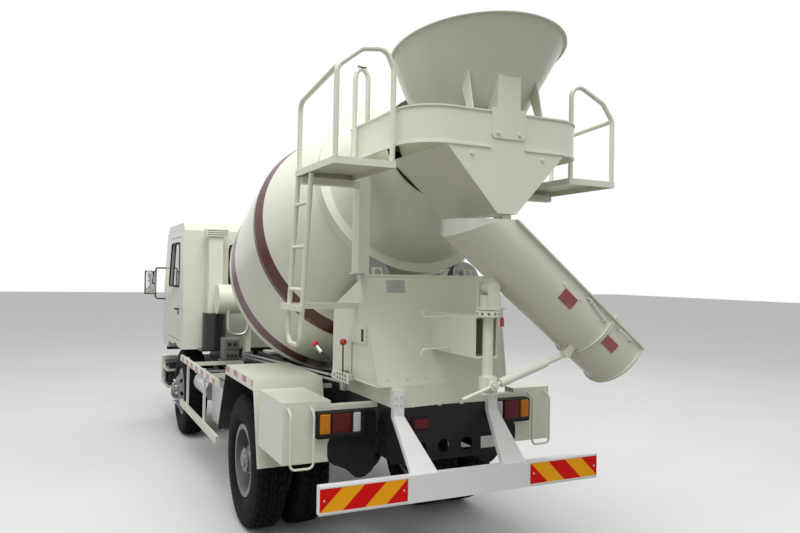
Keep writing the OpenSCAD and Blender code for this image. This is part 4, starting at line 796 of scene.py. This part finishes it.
class MIXER_OT_wheel_fittings(Operator):
    """Nuts, hub caps and valves on the rims"""

    bl_idname = "mixer.wheel_fittings"
    bl_label = "Wheel fittings"

    def execute(self, context):
        across = context.scene.mixer_sizes.nut_across
        angle = np.arange(10) * np.pi / 5
        spoke = np.stack([np.cos(angle), np.zeros(10), np.sin(angle)], 1)
        valve = np.array([math.cos(0.3), 0.0, math.sin(0.3)])
        for name, body, x, y, side in WHEELS:
            if "inner" in name:
                continue
            out = np.array([0.0, side, 0.0])
            centre = np.array([x, y, AXLE_Z])
            front = "front" in name
            face = DISC_FACE if front else -DISC_FACE + 12.0
            nuts = centre + out * face + spoke * 140
            stud = turned([(10, 0), (10, across * 1.15), (8, across * 1.3)], (0, 0, 0), UP, 12)
            fittings = Form(bolts(nuts, out, across, across * 0.8), copies(stud, facing(out), nuts))
            piece("wheel_nuts_" + name, fittings, ZINC, body)
            if front:
                cap = [(84, 201), (84, 203), (78, 206), (70, 207), (66, 216), (55, 226), (35, 232), (12, 234)]
                ring, height = centre + out * 201.5 + spoke[::2] * 62.0, 14.0
            else:
                cap = [(88, 88), (96, 90), (96, 96), (84, 99), (60, 101), (56, 112), (50, 117), (30, 119),
                       (10, 120)]
                ring, height = centre + out * 98.5 + spoke * 76.0, 8.0
            piece("hub_cap_" + name, Form(turned(cap, centre, out, 40)), HUB_PAINT, body, 25.0)
            piece("hub_bolts_" + name, Form(bolts(ring, out, 13.0, height)), ZINC, body)
            foot = centre + out * (face - 25.0) + valve * 215
            stem = rounded([foot, foot + out * 35, foot + out * 60 - valve * 30], 20)
            end = turned([(5.5, -6), (5.5, 8), (4, 10)], stem[-1], stem[-1] - stem[-2], 10)
            piece("valve_" + name, Form(tube(stem, 8.0, (0.0, 1.0, 0.3)), end), ZINC, body)
        return {"FINISHED"}


# Rear end

def on_back(width, height, thick, x, y, z, radius=6.0):
    """A plate on a face that looks to the rear, about its middle."""
    return plate(width, height, thick, (x, y, z), RIGHT, UP, radius)


class MIXER_OT_rear_marking(Operator):
    """Striped marking plates with white strips along their edges and rivets"""

    bl_idname = "mixer.rear_marking"
    bl_label = "Rear marking"

    def execute(self, context):
        s = context.scene.mixer_sizes
        mid, tall = (s.plate_low + s.plate_high) / 2, s.plate_high - s.plate_low
        stripes = Form(on_back(560, tall, 2.5, 0, 731.0, mid, 3.0)).both_sides()
        piece("marking_plates", stripes, STRIPED_SHEET)
        edges = [on_back(562, 9, 3.2, 0, 731.0, z, 3.0) for z in (s.plate_low - 5, s.plate_high + 5)]
        piece("marking_plate_edges", Form(*edges).both_sides(), WHITE_SHEET)
        heads = np.array([[-2.4, y, mid] for y in (478.0, 985.0)])
        rivet = turned([(6, 0), (6, 1.5), (3, 3)], (0, 0, 0), UP, 12)
        rivets = copies(rivet, facing(BACK), heads)
        piece("marking_plate_rivets", Form(rivets).both_sides(), ZINC)
        return {"FINISHED"}


class MIXER_OT_lamps(Operator):
    """Tail lamps with their housings, mudflaps, the small red lamp, headlamps and roof lamps"""

    bl_idname = "mixer.lamps"
    bl_label = "Lamps"

    def execute(self, context):
        x, z, tall = 545.0, 1048.0, 130.0
        red = Form(lens(134, tall, 15, (x, 672, z), RIGHT, UP)).both_sides()
        amber = Form(lens(72, tall, 15, (x, 789, z), RIGHT, UP)).both_sides()
        clear = Form(lens(52, tall, 13, (x, 565, z), RIGHT, UP)).both_sides()
        piece("tail_lens_red", red, RED_LENS)
        piece("tail_lens_amber", amber, AMBER_LENS)
        piece("tail_lens_clear", clear, CLEAR_LENS)
        bezel = upright_loop(x - 4, 833, z - 71, 530, z + 71, 14, 5)
        bars = [tube([[x - 3, y, z - 66], [x - 3, y, z + 66]], 8, AHEAD, 8) for y in (746, 598)]
        bezels = Form(tube(bezel, 11, AHEAD, 8, True), *bars).both_sides()
        piece("tail_lamp_bezels", bezels, PLASTIC)
        self.mudflaps()
        small = Form(lens(112, 64, 12, (340, 190, 1044), RIGHT, UP, 10))
        piece("fog_lens", small, RED_LENS)
        self.headlamps()
        self.roof_lamps()
        return {"FINISHED"}

    def mudflaps(self):
        """Lamp housings with eased edges and rubber flaps that hang behind the rear wheels, in place of the
        plain solids. A flap's foot is one smooth curve that is lowest under its middle."""
        steps = [(0, 0), (0, 48), (2, 51.5), (5, 53)]
        box = moulded(rounded_rectangle(346, 175, 12), steps, (598, 670, 1037.5), RIGHT, UP)
        flap = rounded([[-749, 950], [-749, 775], [-625, 736], [-545, 658], [-480, 658], [-402, 715],
                        [-402, 1110], [-497, 1110], [-497, 950]], 60, 7, True)
        hung = moulded(flap, [(0, 0), (0, 4.5), (1.2, 5.7)], (599.8, 0, 0), RIGHT, UP)
        ribs = [plate(10, 120, 3, (594, y, 830), RIGHT, UP, 4) for y in (700, 640, 580, 520, 460)]
        small = moulded(rounded_rectangle(128, 79, 8), [(0, 0), (0, 19), (3, 22)], (STAND_X, 190, 1043.5),
                        RIGHT, UP)
        flaps = Form(box, hung, *ribs).both_sides().add(small)
        obj = piece("mudflaps_and_housings", flaps, FLAP_RUBBER)
        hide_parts("tail_lamps")

    def headlamps(self):
        """Two silvered bowls behind each headlamp's clear cover, and a ring round it."""
        bowl = [(56, 0.5), (54, 4), (40, 6), (16, 7), (14, 16), (8, 20)]
        bowls = [turned(bowl, (FRONT_X - 3.0, y, 640), AHEAD, 32) for y in (705, 825)]
        piece("headlamp_bowls", Form(*bowls).both_sides(), SILVERED)
        ring = upright_loop(FRONT_X, 636, 556, 904, 724, 24, 5)
        piece("headlamp_rings", Form(tube(ring, 14, AHEAD, 8, True)).both_sides(), PLASTIC)
        turn = Form(lens(60, 110, 14, (FRONT_X, 965, 640), LEFT, UP)).both_sides()
        piece("front_turn_lenses", turn, AMBER_LENS)
        cover = [(48, 0), (48, 6), (42, 10), (20, 13), (6, 13.5)]
        fog = Form(turned(cover, (FRONT_X, 520, 560), AHEAD, 32)).both_sides()
        piece("front_fog_lenses", fog, CLEAR_LENS)

    def roof_lamps(self):
        """Amber lamps on the cab's roof."""
        roof = Form(*[lens(96, 34, 26, (5850, py, 2600), LEFT, BACK, 12) for py in (-820, -400, 0, 400, 820)])
        piece("roof_lamp_lenses", roof, AMBER_LENS, "cab")


def on_left(width, height, thick, x, y, z, radius=6.0):
    """A plate on a face that looks to the left, about its middle."""
    return plate(width, height, thick, (x, y, z), BACK, UP, radius)


def on_panel(y, z):
    """A place on the leaning rear panel."""
    return np.array([STAND_X + PANEL_UP[0] * (z - 1300.0) / PANEL_UP[2], y, z])


class MIXER_OT_rear_trim(Operator):
    """Edge strips, bolts, small plates and the cable rod of the rear stand"""

    bl_idname = "mixer.rear_trim"
    bl_label = "Rear trim"

    def execute(self, context):
        out = np.cross(RIGHT, unit(PANEL_UP))
        strip = [(-7, 0), (7, 0), (7, 5), (-7, 5)]
        edges = [swept(strip, [on_panel(side * 492, 1306), on_panel(side * 546, 2024)], out)
                 for side in (1, -1)]
        head = swept(strip, [on_panel(535, 2022), on_panel(-535, 2022)], out)
        piece("panel_edges", Form(*edges, head), CREAM, bevel=1.0)
        seats = [on_panel(y, 1345) for y in np.linspace(-420, 420, 7)]
        collector = [[-346, y, 2872] for y in (-76, 76)] + [[-338, y, 2740] for y in (-250, 250)]
        feet = [[318, y, z] for y in (-385, -345, 345, 385) for z in (1190, 1240)]
        heads = [bolts(seats, out, 13, 8), bolts(collector, BACK, 19, 11), bolts(feet, BACK, 15, 9)]
        piece("stand_bolts", Form(*heads), CREAM)
        bare = moulded(rounded_rectangle(140, 88, 5), [(0, 0), (0, 1.2), (0.5, 1.6)], on_panel(300, 1950),
                       RIGHT, PANEL_UP)
        piece("bare_plate", Form(bare), ZINC)
        piece("blank_number_plate", Form(on_back(116, 81, 2, STAND_X, -352, 876, 4)), WHITE_SHEET)
        rail = rounded([[STAND_X, 367, 1150], [STAND_X - 10, 367, 1158], [STAND_X - 10, -185, 1172],
                        [STAND_X, -185, 1180]], 14)
        clips = [plate(26, 16, 10, (STAND_X, y, 1162), RIGHT, UP, 3) for y in (240, 40, -130)]
        piece("cable_rod", Form(tube(rail, 9), *clips), CREAM)
        return {"FINISHED"}


class MIXER_OT_drum_controls(Operator):
    """Lever plate, levers with red knobs, slot bracket and the grey control box on the left"""

    bl_idname = "mixer.drum_controls"
    bl_label = "Drum controls"

    def execute(self, context):
        base = on_left(330, 74, 5, 905, 546, 1302, 8)
        tie = [on_left(26, 50, 46, x, 500, 1302, 4) for x in (800, 1000)]
        slot_plate = on_left(270, 120, 8, 695, 495, 1612, 10)
        post = swept([(-16, 0), (16, 0), (16, 6), (-16, 6)], [[830, 500, 1310], [830, 500, 1600]], LEFT)
        piece("lever_plates", Form(base, *tie, slot_plate, post), CREAM)
        # Black discs on the lever plate and a black strip on the slot plate are painted shade: they stand for
        # the dark insides of the holes and the slot.
        holes = [[x, 551, z] for x in (800, 850, 900, 950) for z in (1286, 1316)] + [[1010, 551, 1300]]
        disc = turned([(9, 0), (9, 1.4), (7, 2)], (0, 0, 0), UP, 16)
        # Painted shade of the holes and the slot.
        dark = Form(copies(disc, facing(LEFT), holes), on_left(40, 84, 1.5, 622, 503, 1612, 6))
        piece("lever_plate_hole_shade", dark, PLASTIC)
        levers = [tube(rounded([[1055, 549, 1320], [1120, 560, 1380], [1248, 612, 1488]], 30), 11),
                  tube(rounded([[850, 549, 1320], [850, 552, 1420], [850, 552, 1530]], 30), 11, AHEAD)]
        piece("lever_stalks", Form(*levers), SATIN_BLACK)
        end, way = [1242, 609, 1483], [128, 52, 108]
        ferrule = turned([(14, -72), (15, -66), (15, -8), (13, 0)], end, way, 20)
        piece("lever_ferrule", Form(ferrule), ZINC)
        arc = np.linspace(-np.pi / 2 + 0.3, np.pi / 2 - 0.05, 12)
        knob = np.stack([26 * np.cos(arc), 24 + 24 * np.sin(arc)], 1)
        knobs = Form(turned(knob, end, way, 24), turned(knob, [850, 552, 1524], UP, 24))
        piece("lever_knobs", knobs, RED_GRIP)
        self.control_box()
        return {"FINISHED"}

    def control_box(self):
        """A grey box on the rail behind the cab, with a lid, two dials and its bracket."""
        steps = [(0, 0), (0, 186), (4, 190), (10, 192), (10, 196), (14, 200)]
        box = moulded(rounded_rectangle(168, 240, 14), steps, (4200, 622, 1174), RIGHT, UP)
        lid = moulded(rounded_rectangle(150, 100, 10), [(0, 0), (0, 6), (3, 9)], (4000, 622, 1228), RIGHT, UP)
        bracket = plate(360, 120, 13, (4110, 560, 1040.5), LEFT, BACK, 6)
        piece("control_box", Form(box, lid, bracket), MACHINE_GREY)
        dial = [(20, 0), (20, 7), (17, 10), (4, 10.5)]
        dials = [turned(dial, (3991, y, 1228), BACK, 24) for y in (592, 652)]
        sockets = [turned([(14, 0), (14, 22), (10, 24)], (4000, y, 1106), BACK, 16) for y in (580, 622, 664)]
        piece("control_dials", Form(*dials, *sockets), PLASTIC)


class MIXER_OT_water_pipes(Operator):
    """Pipe under the water tank, brake hoses and lines, and the bolts along the frame's rails"""

    bl_idname = "mixer.water_pipes"
    bl_label = "Water pipes"

    def execute(self, context):
        hanging = rounded([[4300, 600, 1590], [4300, 600, 1305], [4300, 375, 1305], [4300, 375, 1590]],
                          110, 12)
        piece("water_pipe", Form(tube(hanging, 34, AHEAD, 16)), ZINC_PIPE)
        hoses = [tube(rounded([[1500 + k * 60, 380, 1000], [1560 + k * 60, 300, 960],
                               [1700, 260, 760 - k * 30], [1790, 250, 640]], 90, 8), 16) for k in (0, 1)]
        lines = [tube([[460, 402, z], [4600, 402, z]], 10) for z in (930, 948)]
        piece("brake_hoses", Form(*hoses, *lines).both_sides(), FLAP_RUBBER)
        rows = [[x, 395, z] for x in np.arange(420, 4700, 140.0) for z in (860, 990)]
        piece("rail_bolts", Form(bolts(rows, LEFT, 16, 9)).both_sides(), SATIN_BLACK)
        return {"FINISHED"}


class MIXER_OT_tape(Operator):
    """Red and white tape along the side guards and the rear mudguards"""

    bl_idname = "mixer.tape"
    bl_label = "Side tape"

    def execute(self, context):
        guard = on_left(2040, 50, 1.2, 3670, 1060, 1017.5, 3)
        fender = on_left(880, 46, 1.2, 1805, 1060, 1206, 3)
        piece("side_tape", Form(guard, fender).both_sides(), SIDE_TAPE)
        return {"FINISHED"}


def trough_patch(a, n, long, wide, thick):
    """A patch bent round the outside of the trough, on the side that faces the rear. Its points are
    (a + i, -(radius + height) * cos(angle), mid + (radius + height) * sin(angle))."""
    spread = np.linspace(-wide, wide, 9) / TROUGH_R / 2
    angle = math.asin((n - TROUGH_MID) / TROUGH_R) + np.concatenate([spread, -spread])
    reach = TROUGH_R + np.concatenate([np.full(9, thick), np.full(9, 0.4)])
    ends = np.array([a - long / 2, a - long / 2 + 1.5, a + long / 2 - 1.5, a + long / 2])[:, None]
    return shell(chute_point(ends, -reach * np.cos(angle), TROUGH_MID + reach * np.sin(angle)))


class MIXER_OT_chute_trim(Operator):
    """Reflectors, latch, screws and handle of the chute, and the red grip of its lock"""

    bl_idname = "mixer.chute_trim"
    bl_label = "Chute trim"

    def execute(self, context):
        piece("chute_reflector", Form(trough_patch(378, 220, 118, 76, 4)), REFLECTOR, "chute")
        piece("fold_reflector", Form(trough_patch(822, 205, 116, 66, 4)), REFLECTOR, "chute_fold")
        screws = chute_point([300, 456], -TROUGH_R, 268)
        piece("chute_screws", Form(bolts(screws, BACK, 13, 8)), ZINC, "chute")
        rod = rounded(chute_point([482, 500, 690, 700], [-TROUGH_R, -239, -239, -TROUGH_R],
                                  [318, 316, 285, 283]), 10)
        eyes = [chute_point([a - 9, a + 9], -TROUGH_R, n) for a, n in ((520, 312), (672, 288))]
        piece("chute_latch", Form(tube(rod, 12), *[tube(e, 26, UP, 12) for e in eyes]), ZINC, "chute")
        loop = rounded(chute_point([800, 800, 930, 930], [-TROUGH_R, -268, -268, -TROUGH_R], 305), 22)
        piece("fold_handle", Form(tube(loop, 10)), ZINC, "chute_fold")
        grip = [(13.2, 0), (13.2, 2), (12.2, 20), (10.8, 40), (9.9, 53), (9.2, 55)]
        piece("lock_grip", Form(turned(grip, (-163.5, -97.6, 1723), UP, 20)), RED_GRIP, "chute_swivel")
        return {"FINISHED"}


class MIXER_OT_drum_trim(Operator):
    """Weld beads round the drum and the rolled rim of the hopper"""

    bl_idname = "mixer.drum_trim"
    bl_label = "Drum and hopper trim"

    def execute(self, context):
        half = context.scene.mixer_sizes.weld / 2
        cone = DRUM_R - (DRUM_R - MOUTH_R) * 0.5
        bead = np.array([(-2.0, -half), (1.5, -half * 0.6), (2.4, 0), (1.5, half * 0.6), (-2.0, half)])
        rings = [turned_ring(bead + [r, 0], drum_point(s), DRUM_ALONG, 160)
                 for r, s in ((DRUM_R, BARREL_LEN * 0.5), (cone, BARREL_LEN + CONE_LEN * 0.5))]
        piece("drum_welds", Form(*rings), DRUM_PAINT, "drum")
        angle = np.linspace(0, 2 * np.pi, 96, endpoint=False)
        tilt = math.radians(8.65)
        ahead = np.array([math.cos(tilt), 0, -math.sin(tilt)])
        up = np.array([math.sin(tilt), 0, math.cos(tilt)])
        rim = (np.array([25.0, 0, 3440]) - 9 * up + 573 * np.cos(angle)[:, None] * ahead
               + 543 * np.sin(angle)[:, None] * np.array(LEFT))
        piece("hopper_rim", Form(tube(rim, 16, up, 12, True)), CREAM)
        return {"FINISHED"}


class MIXER_OT_cab_trim(Operator):
    """Window rubbers, handles, wipers, mirror glass, grille bars and steps of the cab"""

    bl_idname = "mixer.cab_trim"
    bl_label = "Cab trim"

    def execute(self, context):
        window = [(5110, 1830), (5110, 2370), (5730, 2370), (5925, 1830)]
        for side, name in ((1, "left"), (-1, "right")):
            body = "door_l" if side > 0 else "door_r"
            ring = rounded([[x, side * (CAB_Y + 1), z] for x, z in window], 45, 6, True)
            piece("door_rubber_" + name, Form(tube(ring, 18, LEFT, 8, True)), FLAP_RUBBER, body)
            near, far = side * CAB_Y, side * (CAB_Y + 38)
            pull = rounded([[5085, near, 1560], [5085, far, 1560], [5215, far, 1560], [5215, near, 1560]], 22)
            catch = plate(60, 46, 6, (5150, near, 1515), (-side, 0, 0), UP, 10)
            piece("door_handle_" + name, Form(tube(pull, 18), catch), PLASTIC, body)
        self.screens()
        self.front()
        self.steps()
        return {"FINISHED"}

    def screens(self):
        """Rubbers of the windscreen and the rear window, wipers and mirror glass."""
        low, high = np.array([6369.0 + 4, 0, 1840]), np.array([6154.0 + 4, 0, 2450])
        corner = [low + [0, 940, 0], high + [0, 940, 0], high - [0, 940, 0], low - [0, 940, 0]]
        back = upright_loop(CAB_BACK_X - 1, 500, 1850, -500, 2350, 60, 7)
        rubbers = Form(tube(rounded(corner, 70, 7, True), 22, (1, 0, 0.35), 8, True),
                       tube(back, 20, AHEAD, 8, True))
        piece("screen_rubbers", rubbers, FLAP_RUBBER, "cab")
        up, out = unit(high - low), unit(np.array([610.0, 0, 215]))
        half_blade = np.array([0, 270, 0]) - up * 18
        arms = []
        for y in (-60, 700):
            foot = low + np.array([0, y, 0]) - up * 60 + out * 14
            tip = low + np.array([0, y - 470, 0]) + up * 84 + out * 20
            blade = [tip + out * 2 - half_blade, tip + out * 2 + half_blade]
            pivot = turned([(22, -30), (22, 8), (14, 14)], foot, out, 20)
            arms += [tube([foot, tip], 12, out), tube(blade, 12, out), pivot]
        piece("wipers", Form(*arms), PLASTIC, "cab")
        glass = Form(lens(130, 296, 3, (6370, 1215, 1860), RIGHT, UP, 20)).both_sides()
        piece("mirror_glass", glass, MIRROR_GLASS, "cab")

    def front(self):
        """Bars over the grille, a lower valance and grab handles at the front corners."""
        bars = [plate(1080, 20, 8, (6438, 0, z), LEFT, UP, 6) for z in np.arange(1195, 1500, 46.0)]
        valance = plate(1960, 86, 18, (6404, 0, 977), LEFT, UP, 16, 3)
        piece("grille_bars", Form(*bars, valance), PLASTIC, "cab")
        rail = rounded([[6420, 560, 1540], [6452, 560, 1540], [6452, 800, 1540], [6420, 800, 1540]], 20)
        piece("front_handles", Form(tube(rail, 16)).both_sides(), PLASTIC, "cab")

    def steps(self):
        """Two treads, their side plates, a back plate and a stay under each door, fixed to the chassis."""
        treads = [plate(360, 170, 30, (6165, 925, z), AHEAD, LEFT, 18, 3) for z in (500, 775)]
        section = rounded_rectangle(24, 150, 6)
        cheeks = [moulded(section, [(0, 0), (0, 290), (2, 292)], (x, 925, 492), AHEAD, LEFT)
                  for x in (6000, 6330)]
        back = plate(340, 300, 12, (6165, 800, 640), BACK, UP, 8)
        stay = plate(60, 40, 420, (6200, 385, 700), BACK, UP, 6)
        piece("cab_steps", Form(*treads, *cheeks, back, stay).both_sides(), PLASTIC)


def cushion(centre, size, tilt, channels, power=0.36):
    """A stuffed cushion: a superellipsoid whose face is pinched into channels. With the sign-keeping power
    c(w) = sign(cos w) |cos w|^power and s(w) likewise, a point is size / 2 * (c(v) c(w), c(v) s(w), s(v)).
    The thickness is less by up to a seventh in the channels, where |sin(channels * pi * y / 2)| is small,
    and by up to a twentieth towards the ends."""
    v = np.linspace(-np.pi / 2 + 0.02, np.pi / 2 - 0.02, 25)[:, None]
    w = np.linspace(0, 2 * np.pi, 72, endpoint=False)[None]

    def bent(a):
        return np.sign(a) * np.abs(a) ** power

    x, y, z = bent(np.cos(v)) * bent(np.cos(w)), bent(np.cos(v)) * bent(np.sin(w)), bent(np.sin(v)) + 0 * w
    pinch = np.exp(-(np.sin(channels * np.pi * y / 2) / 0.22) ** 2) * (np.abs(y) < 0.8)
    z = z * (1 - 0.14 * pinch * np.abs(z) - 0.05 * x ** 2)
    local = np.stack([x, y, z], -1) * np.asarray(size, float) / 2
    c, s = math.cos(tilt), math.sin(tilt)
    turn = np.array([[c, 0, s], [0, 1, 0], [-s, 0, c]])
    return shell(local @ turn.T + np.asarray(centre, float))


class MIXER_OT_seats(Operator):
    """Two seats with padded cushions, backs and head rests on plain bases"""

    bl_idname = "mixer.seats"
    bl_label = "Seats"

    def execute(self, context):
        lean = -math.atan2(110.0, 580.0)
        for side, name in ((1, "left"), (-1, "right")):
            pad = Form(cushion((5320, side * 540, 1494), (495, 470, 118), 0.0, 5),
                       cushion((5052, side * 540, 1822), (112, 452, 556), lean, 0),
                       cushion((5078, side * 540, 1828), (112, 300, 470), lean, 5))
            obj = piece("seat_cushions_" + name, pad, SEAT_CLOTH, "cab", 80.0)
            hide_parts("seats")
        bases = Form(plate(400, 400, 286, (5300, 535, 1151), AHEAD, LEFT, 30, 8),
                     plate(440, 440, 10, (5310, 540, 1432), AHEAD, LEFT, 40, 3)).both_sides()
        obj = piece("seat_bases", bases, PLASTIC, "cab")
        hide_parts("seats")
        return {"FINISHED"}


def background_share(tree):
    """1 for what the camera, a reflection or a pane shows, and 0 for the light that falls on the truck."""
    ray = tree.nodes.new("ShaderNodeLightPath")
    total = ray.outputs["Is Camera Ray"]
    for name in ("Is Glossy Ray", "Is Transmission Ray"):
        more = tree.nodes.new("ShaderNodeMath")
        more.operation, more.use_clamp = "ADD", True
        tree.links.new(total, more.inputs[0])
        tree.links.new(ray.outputs[name], more.inputs[1])
        total = more.outputs[0]
    return total


class MIXER_OT_stage(Operator):
    """Floor, lights, surroundings and the camera at the photograph's place"""

    bl_idname = "mixer.stage"
    bl_label = "Stage"

    def execute(self, context):
        scene, sizes = context.scene, context.scene.mixer_sizes
        self.lay_floor(scene)
        self.surround(scene, sizes.sky_light)
        self.light(scene, sizes.key_light)
        self.point_camera(scene)
        return {"FINISHED"}

    def lay_floor(self, scene):
        """A floor that is paler to the camera than to the light that it throws back."""
        floor = bpy.data.meshes.new("floor")
        floor.from_pydata([(-60, -60, 0), (60, -60, 0), (60, 60, 0), (-60, 60, 0)], [], [(0, 1, 2, 3)])
        ground = bpy.data.objects.new("floor", floor)
        scene.collection.objects.link(ground)
        f = Finish("pale floor", (0.72, 0.72, 0.71), 0.85)
        pale = f.mottled(0.8, 0.02)
        f.set("Base Color", f.mix(background_share(f.material.node_tree), (0.22, 0.21, 0.20), pale))
        floor.materials.append(f.material)

    def surround(self, scene, sky_light):
        """A white background, which lights the truck with sky_light."""
        world = bpy.data.worlds.new("surroundings")
        scene.world = world
        world.use_nodes = True
        nodes, links = world.node_tree.nodes, world.node_tree.links
        nodes.clear()
        strength = nodes.new("ShaderNodeMapRange")
        strength.inputs["To Min"].default_value = sky_light
        strength.inputs["To Max"].default_value = 1.0
        links.new(background_share(world.node_tree), strength.inputs["Value"])
        sky = nodes.new("ShaderNodeBackground")
        sky.inputs["Color"].default_value = (1.0, 1.0, 1.0, 1.0)
        links.new(strength.outputs[0], sky.inputs["Strength"])
        links.new(sky.outputs[0], nodes.new("ShaderNodeOutputWorld").inputs[0])

    def light(self, scene, key_light):
        """A softbox over the truck and a weaker one ahead of it, on the right."""
        lamps = (("key", (-4.4, 2.0, 11.0), (0, 0, 1.6), key_light, 8.0),
                 ("fill", (6.0, -6.0, 8.0), (0, 0, 1.2), key_light * 0.12, 7.0))
        for name, at, aim, power, size in lamps:
            lamp = bpy.data.lights.new(name, "AREA")
            lamp.energy, lamp.size = power, size
            holder = bpy.data.objects.new(name, lamp)
            scene.collection.objects.link(holder)
            way = Vector(aim) - Vector(at)
            holder.matrix_world = Matrix.Translation(at) @ way.to_track_quat("-Z", "Y").to_matrix().to_4x4()

    def point_camera(self, scene):
        """The camera at the photograph's place: forward and right, pitched up and then rolled."""
        pitch, roll = 0.0108, 0.0179
        level, right = Vector((0.8988, -0.4384, 0.0)), Vector((-0.4384, -0.8988, 0.0))
        forward = level * math.cos(pitch) + Vector(UP) * math.sin(pitch)
        over = Vector(UP) * math.cos(pitch) - level * math.sin(pitch)
        right = right * math.cos(roll) + over * math.sin(roll)
        up = right.cross(forward)
        turn = Matrix((right, up, -forward)).transposed()
        camera = bpy.data.cameras.new("camera")
        camera.lens, camera.sensor_width = 31.72, 36.0
        camera.clip_start, camera.clip_end = 0.1, 200.0
        holder = bpy.data.objects.new("camera", camera)
        scene.collection.objects.link(holder)
        holder.matrix_world = Matrix.Translation((-6.797, 2.383, 2.034)) @ turn.to_4x4()
        scene.camera = holder
        scene.view_settings.view_transform = "Standard"


OPERATORS = [MIXER_OT_finishes, MIXER_OT_stage, MIXER_OT_tyres, MIXER_OT_wheel_fittings,
             MIXER_OT_rear_marking, MIXER_OT_lamps, MIXER_OT_rear_trim, MIXER_OT_drum_controls,
             MIXER_OT_water_pipes, MIXER_OT_tape, MIXER_OT_chute_trim, MIXER_OT_drum_trim,
             MIXER_OT_cab_trim, MIXER_OT_seats]


class MIXER_PT_panel(Panel):
    """Sizes, colours and pieces of the mixer truck"""

    bl_idname = "MIXER_PT_panel"
    bl_label = "Concrete mixer truck"
    bl_space_type = "VIEW_3D"
    bl_region_type = "UI"
    bl_category = "Mixer"

    def draw(self, context):
        for title, group in (("Sizes", context.scene.mixer_sizes), ("Colours", context.scene.mixer_colours)):
            box = self.layout.box()
            box.label(text=title)
            for key in group.__annotations__:
                box.prop(group, key)
        for operator in OPERATORS:
            self.layout.operator(operator.bl_idname)


CLASSES = [MixerSizes, MixerColours, *OPERATORS, MIXER_PT_panel]


def register():
    for cls in CLASSES:
        bpy.utils.register_class(cls)
    bpy.types.Scene.mixer_sizes = PointerProperty(type=MixerSizes)
    bpy.types.Scene.mixer_colours = PointerProperty(type=MixerColours)


def unregister():
    del bpy.types.Scene.mixer_colours
    del bpy.types.Scene.mixer_sizes
    for cls in reversed(CLASSES):
        bpy.utils.unregister_class(cls)


def main():
    """Registers the add-on and makes every piece."""
    register()
    for operator in OPERATORS:
        group, name = operator.bl_idname.split(".")
        getattr(getattr(bpy.ops, group), name)()


if __name__ == "__main__":
    main()
